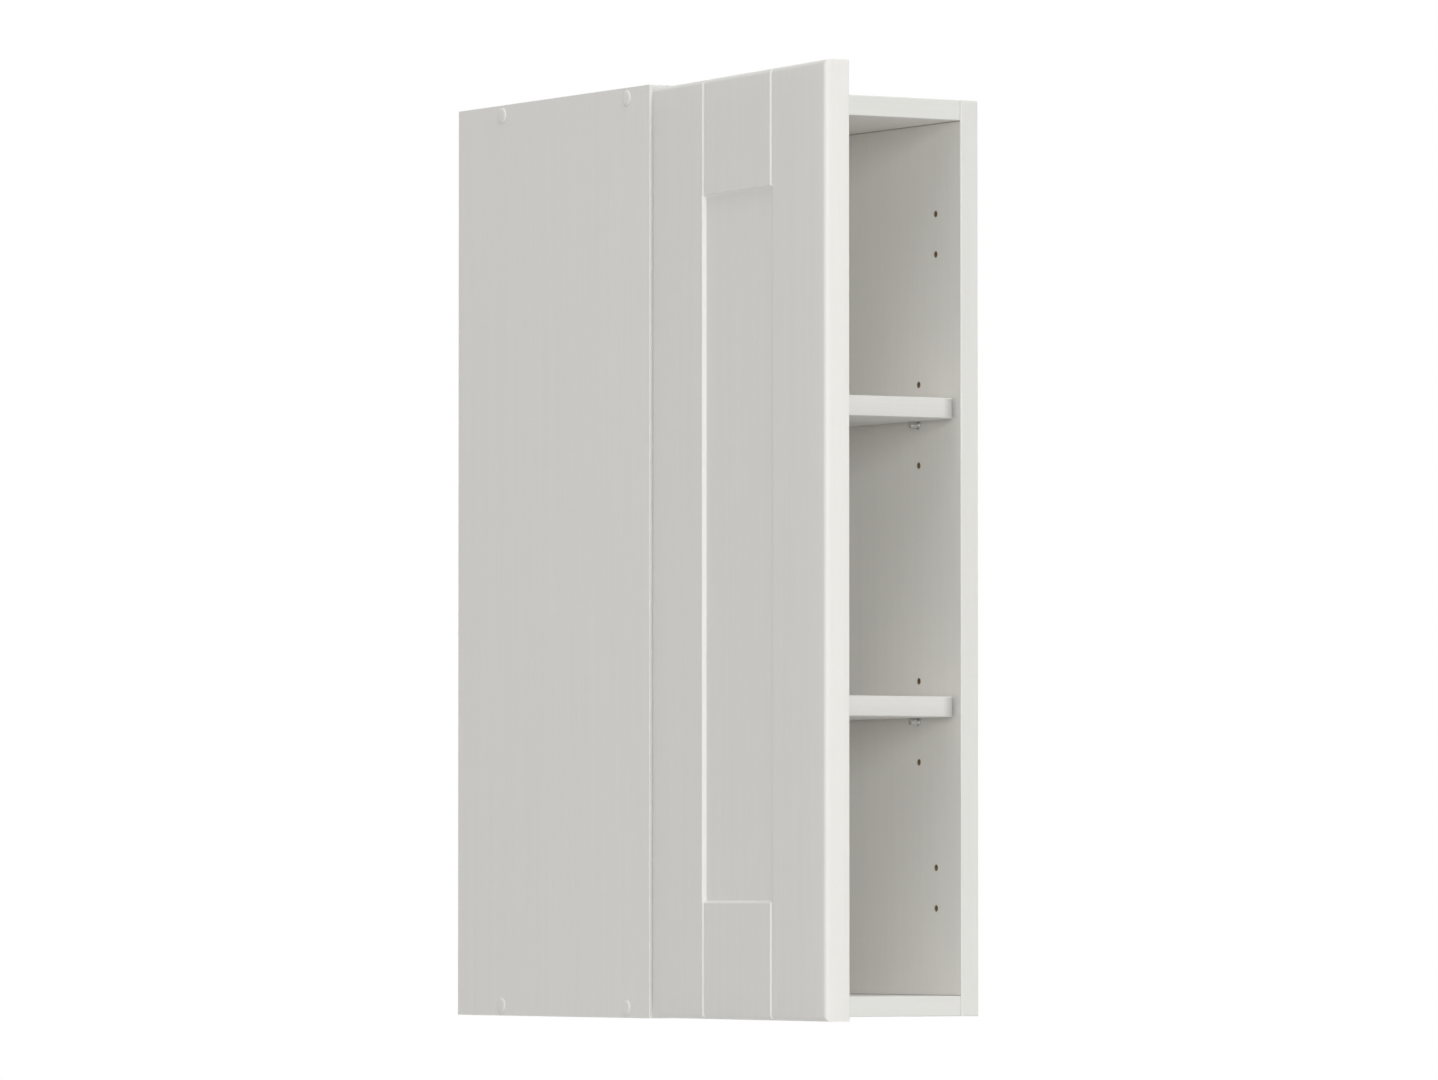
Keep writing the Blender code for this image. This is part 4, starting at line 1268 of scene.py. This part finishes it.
@dataclass
class Door:
    """Milled door front: a sunk panel between plain stiles, and grooves beside the stiles in the rails."""

    edge_radius: float = 0.004
    stile: float = 0.088
    rail: float = 0.088
    recess: float = 0.0030
    recess_run: float = 0.0020
    groove_inset: float = 0.0003
    groove_width: float = 0.0042
    knee: float = 0.00015
    mill_step: float = 0.00015
    stile_steps: int = 4
    panel_steps: int = 10
    back_edge: float = 0.0004
    rim_tolerance: float = 0.00005
    bore_radius: float = 0.0175
    bore_from_edge: float = 0.0205
    bore_depth: float = 0.0133
    bore_past: float = 0.001
    bore_steps: int = 64
    crease: float = 38.0

    def __post_init__(self) -> None:
        """Reads the hinge line and the closed door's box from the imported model."""
        joint = frame["record"]["behaviour"]["joints"][0]
        axis = Vector(joint["pos_m"])
        self.rest = Matrix.Translation(axis) @ Matrix.Rotation(math.radians(joint["range_deg"][0]), 4, "Z")
        self.low, self.high = self.closed_box("door_panel")

    def closed_box(self, node: str) -> tuple[Vector, Vector]:
        """Box of a node on the closed door, from the hinge line.

        Args:
            node: Name of the node.

        Returns:
            Its lowest and highest corner.
        """
        closed = self.rest.inverted()
        points = [closed @ vertex.co for vertex in frame["nodes"][node].data.vertices]
        low = Vector(min(point[i] for point in points) for i in range(3))
        high = Vector(max(point[i] for point in points) for i in range(3))
        return low, high

    def build(self) -> None:
        """Builds the door front in the place of its node."""
        mesh = to_mesh(carved(self.front(), self.bores()), "door_front", self.crease)
        mesh.transform(self.rest)
        add_piece("door_front", mesh, DOOR_FOIL, DOOR, ["door_panel"])

    def sunk(self, past: float, depth: float) -> float:
        """Depth of a 45 degree bevel with soft knees, which the recess stretches to its own depth.

        Args:
            past: Distance past the bevel's lip.
            depth: Full depth.

        Returns:
            Depth at that distance.
        """
        k = self.knee
        if past < -k:
            return 0.0
        if past < k:
            return (past + k) ** 2 / (4 * k)
        if past < depth - k:
            return past
        return depth - max(depth + k - past, 0.0) ** 2 / (4 * k)

    def milled(self, along: float, up: float) -> float:
        """Depth of the milling below the face.

        Args:
            along: Distance from the hinge edge.
            up: Distance from the lower edge.

        Returns:
            Depth of the recess or a groove, whichever is deeper.
        """
        size = self.high - self.low
        across = min(along - self.stile, size.x - self.stile - along)
        past = min(across, up - self.rail, size.z - self.rail - up)
        panel = self.sunk(past, self.recess_run) * self.recess / self.recess_run
        half = self.groove_width / 2
        middle = self.stile + self.groove_inset + half
        off = min(abs(along - middle), abs(size.x - middle - along))
        groove = min(self.sunk(half - off, 2 * half), half - self.knee / 4)
        return max(panel, groove)

    def lines(self, length: float, border: float, reach: float) -> list[float]:
        """Grid lines across the face: close together on edges and milling.

        Args:
            length: Length of the face in this direction.
            border: Distance of the milling from each end.
            reach: Width of the milling.

        Returns:
            Rising distances from the first edge.
        """
        arc = [self.edge_radius * (1 - math.cos(math.radians(a))) for a in ARC_STEPS]
        count = round((reach + 4 * self.knee) / self.mill_step)
        mill = [border - 2 * self.knee + i * self.mill_step for i in range(count + 1)]
        run, parts = mill[0] - self.edge_radius, self.stile_steps
        half = arc + [self.edge_radius + run * i / parts for i in range(1, parts)] + mill
        run, parts = length - 2 * mill[-1], self.panel_steps
        inner = [mill[-1] + run * i / parts for i in range(1, parts)]
        return half + inner + [length - value for value in reversed(half)]

    def rounded(self, value: float, length: float) -> float:
        """Drop of the soft outer edge at a distance along a face of the given length."""
        near = self.edge_radius - min(value, length - value, self.edge_radius)
        return self.edge_radius - math.sqrt(max(self.edge_radius ** 2 - near ** 2, 0.0))

    def front(self) -> bmesh.types.BMesh:
        """Builds the whole door, closed, with its face towards -Y and the hinge line at the origin.

        Returns:
            The door without its bores.
        """
        size = self.high - self.low
        along = self.lines(size.x, self.stile, self.groove_inset + self.groove_width)
        up = self.lines(size.z, self.rail, self.recess_run)
        shape = bmesh.new()
        grid = []
        for s in along:
            column = []
            for z in up:
                drop = max(self.rounded(s, size.x), self.rounded(z, size.z), self.milled(s, z))
                column.append(shape.verts.new((self.low.x + s, self.low.y + drop, self.low.z + z)))
            grid.append(column)
        for first, second in zip(grid, grid[1:]):
            for i in range(len(up) - 1):
                shape.faces.new((first[i], second[i], second[i + 1], first[i + 1]))
        self.close_back(shape)
        return shape

    def close_back(self, shape: bmesh.types.BMesh) -> None:
        """Adds the edges and the back to the open face.

        Args:
            shape: The face, which becomes a closed door.
        """
        middle = (self.low + self.high) / 2
        rim = [edge for edge in shape.edges if edge.is_boundary]
        for y, inset in ((self.high.y - self.back_edge, 0.0), (self.high.y, self.back_edge)):
            made = bmesh.ops.extrude_edge_only(shape, edges=rim)["geom"]
            rim = [item for item in made if isinstance(item, bmesh.types.BMEdge)]
            for vertex in (item for item in made if isinstance(item, bmesh.types.BMVert)):
                vertex.co.y = y
                for axis in (0, 2):
                    reach = (self.high - self.low)[axis] / 2 - self.rim_tolerance
                    if abs(vertex.co[axis] - middle[axis]) > reach:
                        vertex.co[axis] += math.copysign(inset, middle[axis] - vertex.co[axis])
        bmesh.ops.edgeloop_fill(shape, edges=rim)
        bmesh.ops.recalc_face_normals(shape, faces=shape.faces)

    def bores(self) -> bmesh.types.BMesh:
        """Makes cutters for the hinge cups' bores in the back.

        Returns:
            Both cutters, which stand out of the back.
        """
        tools = bmesh.new()
        for node in nodes_named("hinge_cup_"):
            low, high = self.closed_box(node)
            depth = self.high.y - self.bore_depth / 2 + self.bore_past
            place = (self.low.x + self.bore_from_edge, depth, (low.z + high.z) / 2)
            bmesh.ops.create_cone(
                tools, cap_ends=True, segments=self.bore_steps, radius1=self.bore_radius,
                radius2=self.bore_radius, depth=self.bore_depth + 2 * self.bore_past,
                matrix=facing((0, 1, 0), place),
            )
        return tools


@dataclass(frozen=True)
class Fitting:
    """A kind of CAD fitting that is shown with finer edges."""

    kind: str
    finish: Finish
    slot: str
    body: str = CARCASS
    crease: float = 32.0

    def build(self, soft_edge: float) -> None:
        """Adds a refined piece for each node of this kind.

        Args:
            soft_edge: Size of the rounding.
        """
        for node in nodes_named(self.kind):
            mesh = to_mesh(softened(node, soft_edge), f"{node}_fine", self.crease)
            add_piece(f"{node}_fine", mesh, self.finish, self.body, [node])


@dataclass
class Hinges:
    """Two concealed hinges: plates and arms on the side, cups and pins on the door, with their screws."""

    fittings: tuple[Fitting, ...] = (
        Fitting("hinge_plate_", STEEL, "hinge_steel"),
        Fitting("hinge_arm_", NICKEL, "hinge_steel"),
        Fitting("hinge_clamp_screw_", DARK_STEEL, "screw_steel"),
        Fitting("hinge_side_screw_", DARK_STEEL, "screw_steel"),
        Fitting("hinge_cup_", NICKEL, "hinge_steel", DOOR),
        Fitting("hinge_pin_", DARK_STEEL, "hinge_steel", DOOR),
    )
    soft_edge: float = 0.0002
    plate_screw: CrossScrew = CrossScrew(0.0042, 0.0017)
    plate_screw_pitch: float = 0.032
    plate_thickness: float = 0.0026
    plate_gap: float = 0.0003
    plate_setback: float = 0.037
    cup_screw: CrossScrew = CrossScrew(0.0036, 0.0010, 0.0007)
    ear_spacing: float = 0.048
    ear_offset: float = 0.006

    def build(self, door: Door) -> None:
        """Adds the refined hinge pieces and the small screws.

        Args:
            door: The door that carries the cups.
        """
        for fitting in self.fittings:
            fitting.build(self.soft_edge)
        self.build_plate_screws()
        self.build_cup_screws(door)

    def build_plate_screws(self) -> None:
        """Screws in the ears of the mounting plates."""
        head = self.plate_screw.build("plate_screw")
        low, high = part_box("left_side")
        x, y = high.x + self.plate_thickness + self.plate_gap, low.y + self.plate_setback
        for node in nodes_named("hinge_plate_"):
            level = middle_of(node).z
            for half, word in PAIR:
                where = facing((1, 0, 0), (x, y, level + half * self.plate_screw_pitch))
                add_piece(f"{node}_screw_{word}", head, DARK_STEEL, where=where)

    def build_cup_screws(self, door: Door) -> None:
        """Screws in the ears of the cups, on the door's back.

        Args:
            door: The door that carries the cups.
        """
        head = self.cup_screw.build("cup_screw")
        across = door.low.x + door.bore_from_edge + self.ear_offset
        for node in nodes_named("hinge_cup_"):
            low, high = door.closed_box(node)
            level = (low.z + high.z) / 2
            for half, word in PAIR:
                where = door.rest @ facing((0, 1, 0), (across, high.y, level + half * self.ear_spacing))
                add_piece(f"{node}_screw_{word}", head, DARK_STEEL, DOOR, where=where)


@dataclass
class Hangers:
    """Wall hangers in the upper rear corners."""

    fittings: tuple[Fitting, ...] = (
        Fitting("hanger_case_", HANGER_PLASTIC, "hanger_plastic"),
        Fitting("hanger_cover_", COVER_PLASTIC, "cover_plastic"),
        Fitting("hanger_hook_", STEEL, "hinge_steel"),
        Fitting("hanger_height_screw_", DARK_STEEL, "screw_steel"),
        Fitting("hanger_depth_screw_", DARK_STEEL, "screw_steel"),
    )
    soft_edge: float = 0.0003

    def build(self) -> None:
        """Adds the refined hanger pieces."""
        for fitting in self.fittings:
            fitting.build(self.soft_edge)


@dataclass(frozen=True)
class Lamp:
    """A large soft lamp that is aimed at the cabinet."""

    name: str
    place: Point
    size: Span
    power: float
    aim: Point = (0.0, -0.2, 0.0)
    colour: Colour = (0.985, 1.0, 0.992)

    def build(self) -> None:
        """Adds the lamp, unseen by the camera itself."""
        data = bpy.data.lights.new(self.name, "AREA")
        data.shape = "RECTANGLE"
        data.size, data.size_y = self.size
        data.energy = self.power
        data.color = self.colour
        lamp = link(self.name, data)
        lamp.location = self.place
        lamp.rotation_euler = (Vector(self.aim) - Vector(self.place)).to_track_quat("-Z", "Y").to_euler()
        lamp.visible_camera = False


@dataclass
class Studio:
    """Floor far below the hung cabinet, white surroundings, lamps and the camera."""

    floor_level: float = -1.76
    floor_radius: float = 60.0
    floor_steps: int = 96
    ambient: float = 0.20
    lamps: tuple[Lamp, ...] = (
        Lamp("key_softbox", (-4.27, -8.06, 1.02), (0.5, 3.0), 240.0),
        Lamp("rear_left_softbox", (-6.52, 7.57, 2.72), (5.0, 4.0), 15.0),
        Lamp("top_softbox", (-1.45, -4.17, 9.06), (6.0, 5.4), 250.0),
        Lamp("high_front_softbox", (-0.68, -7.95, 7.78), (5.6, 5.6), 204.0),
        Lamp("top_left_softbox", (-4.23, -0.20, 9.06), (6.0, 5.4), 136.0),
        Lamp("rear_right_softbox", (7.00, 6.80, 1.20), (5.0, 3.0), 340.0),
    )
    picture: tuple[int, int] = (1438, 1080)
    sensor_width: float = 36.0
    focal_pixels: float = 9748.08
    clip: Span = (0.1, 200.0)
    camera_place: Point = (-3.95972, -6.76747, -0.27494)
    camera_yaw: float = 0.53947
    camera_pitch: float = 0.03770

    def build(self) -> None:
        """Adds everything round the cabinet."""
        self.build_camera()
        self.build_world()
        self.build_floor()
        for lamp in self.lamps:
            lamp.build()

    def build_camera(self) -> None:
        """The camera at the photograph's place, looking slightly up."""
        data = bpy.data.cameras.new("camera")
        data.sensor_fit, data.sensor_width = "HORIZONTAL", self.sensor_width
        data.lens = self.focal_pixels * data.sensor_width / self.picture[0]
        data.clip_start, data.clip_end = self.clip
        camera = link("camera", data)
        camera.location = self.camera_place
        camera.rotation_euler = (math.pi / 2 + self.camera_pitch, 0.0, -self.camera_yaw)
        bpy.context.scene.camera = camera

    def build_world(self) -> None:
        """Even light all round, seen as plain white."""
        world = bpy.data.worlds.new("studio")
        world.use_nodes = True
        bpy.context.scene.world = world
        graph = Graph(world.node_tree)
        light = graph.node("ShaderNodeBackground", {}, {"Strength": self.ambient, "Color": WHITE})
        white = graph.node("ShaderNodeBackground", {}, {"Strength": 1.0, "Color": WHITE})
        mixed = graph.node("ShaderNodeMixShader", {}, {0: graph.seen(), 1: light, 2: white})
        graph.node("ShaderNodeOutputWorld", {}, {"Surface": mixed})

    def build_floor(self) -> None:
        """A wide round floor at the room's floor level."""
        shape = bmesh.new()
        bmesh.ops.create_circle(shape, cap_ends=True, segments=self.floor_steps, radius=self.floor_radius)
        mesh = plain_mesh(shape, "floor")
        mesh.materials.append(StudioFloor().material())
        floor = link("floor", mesh)
        floor.location.z = self.floor_level


def main() -> None:
    """Builds the studio and dresses the cabinet, sub-assembly by sub-assembly."""
    logging.basicConfig(level=logging.INFO, format="%(message)s")
    bpy.context.scene.view_settings.view_transform = "Standard"
    Studio().build()
    Carcass().build()
    Shelves().build()
    door = Door()
    door.build()
    Hinges().build(door)
    Hangers().build()


if __name__ == "__main__":
    main()
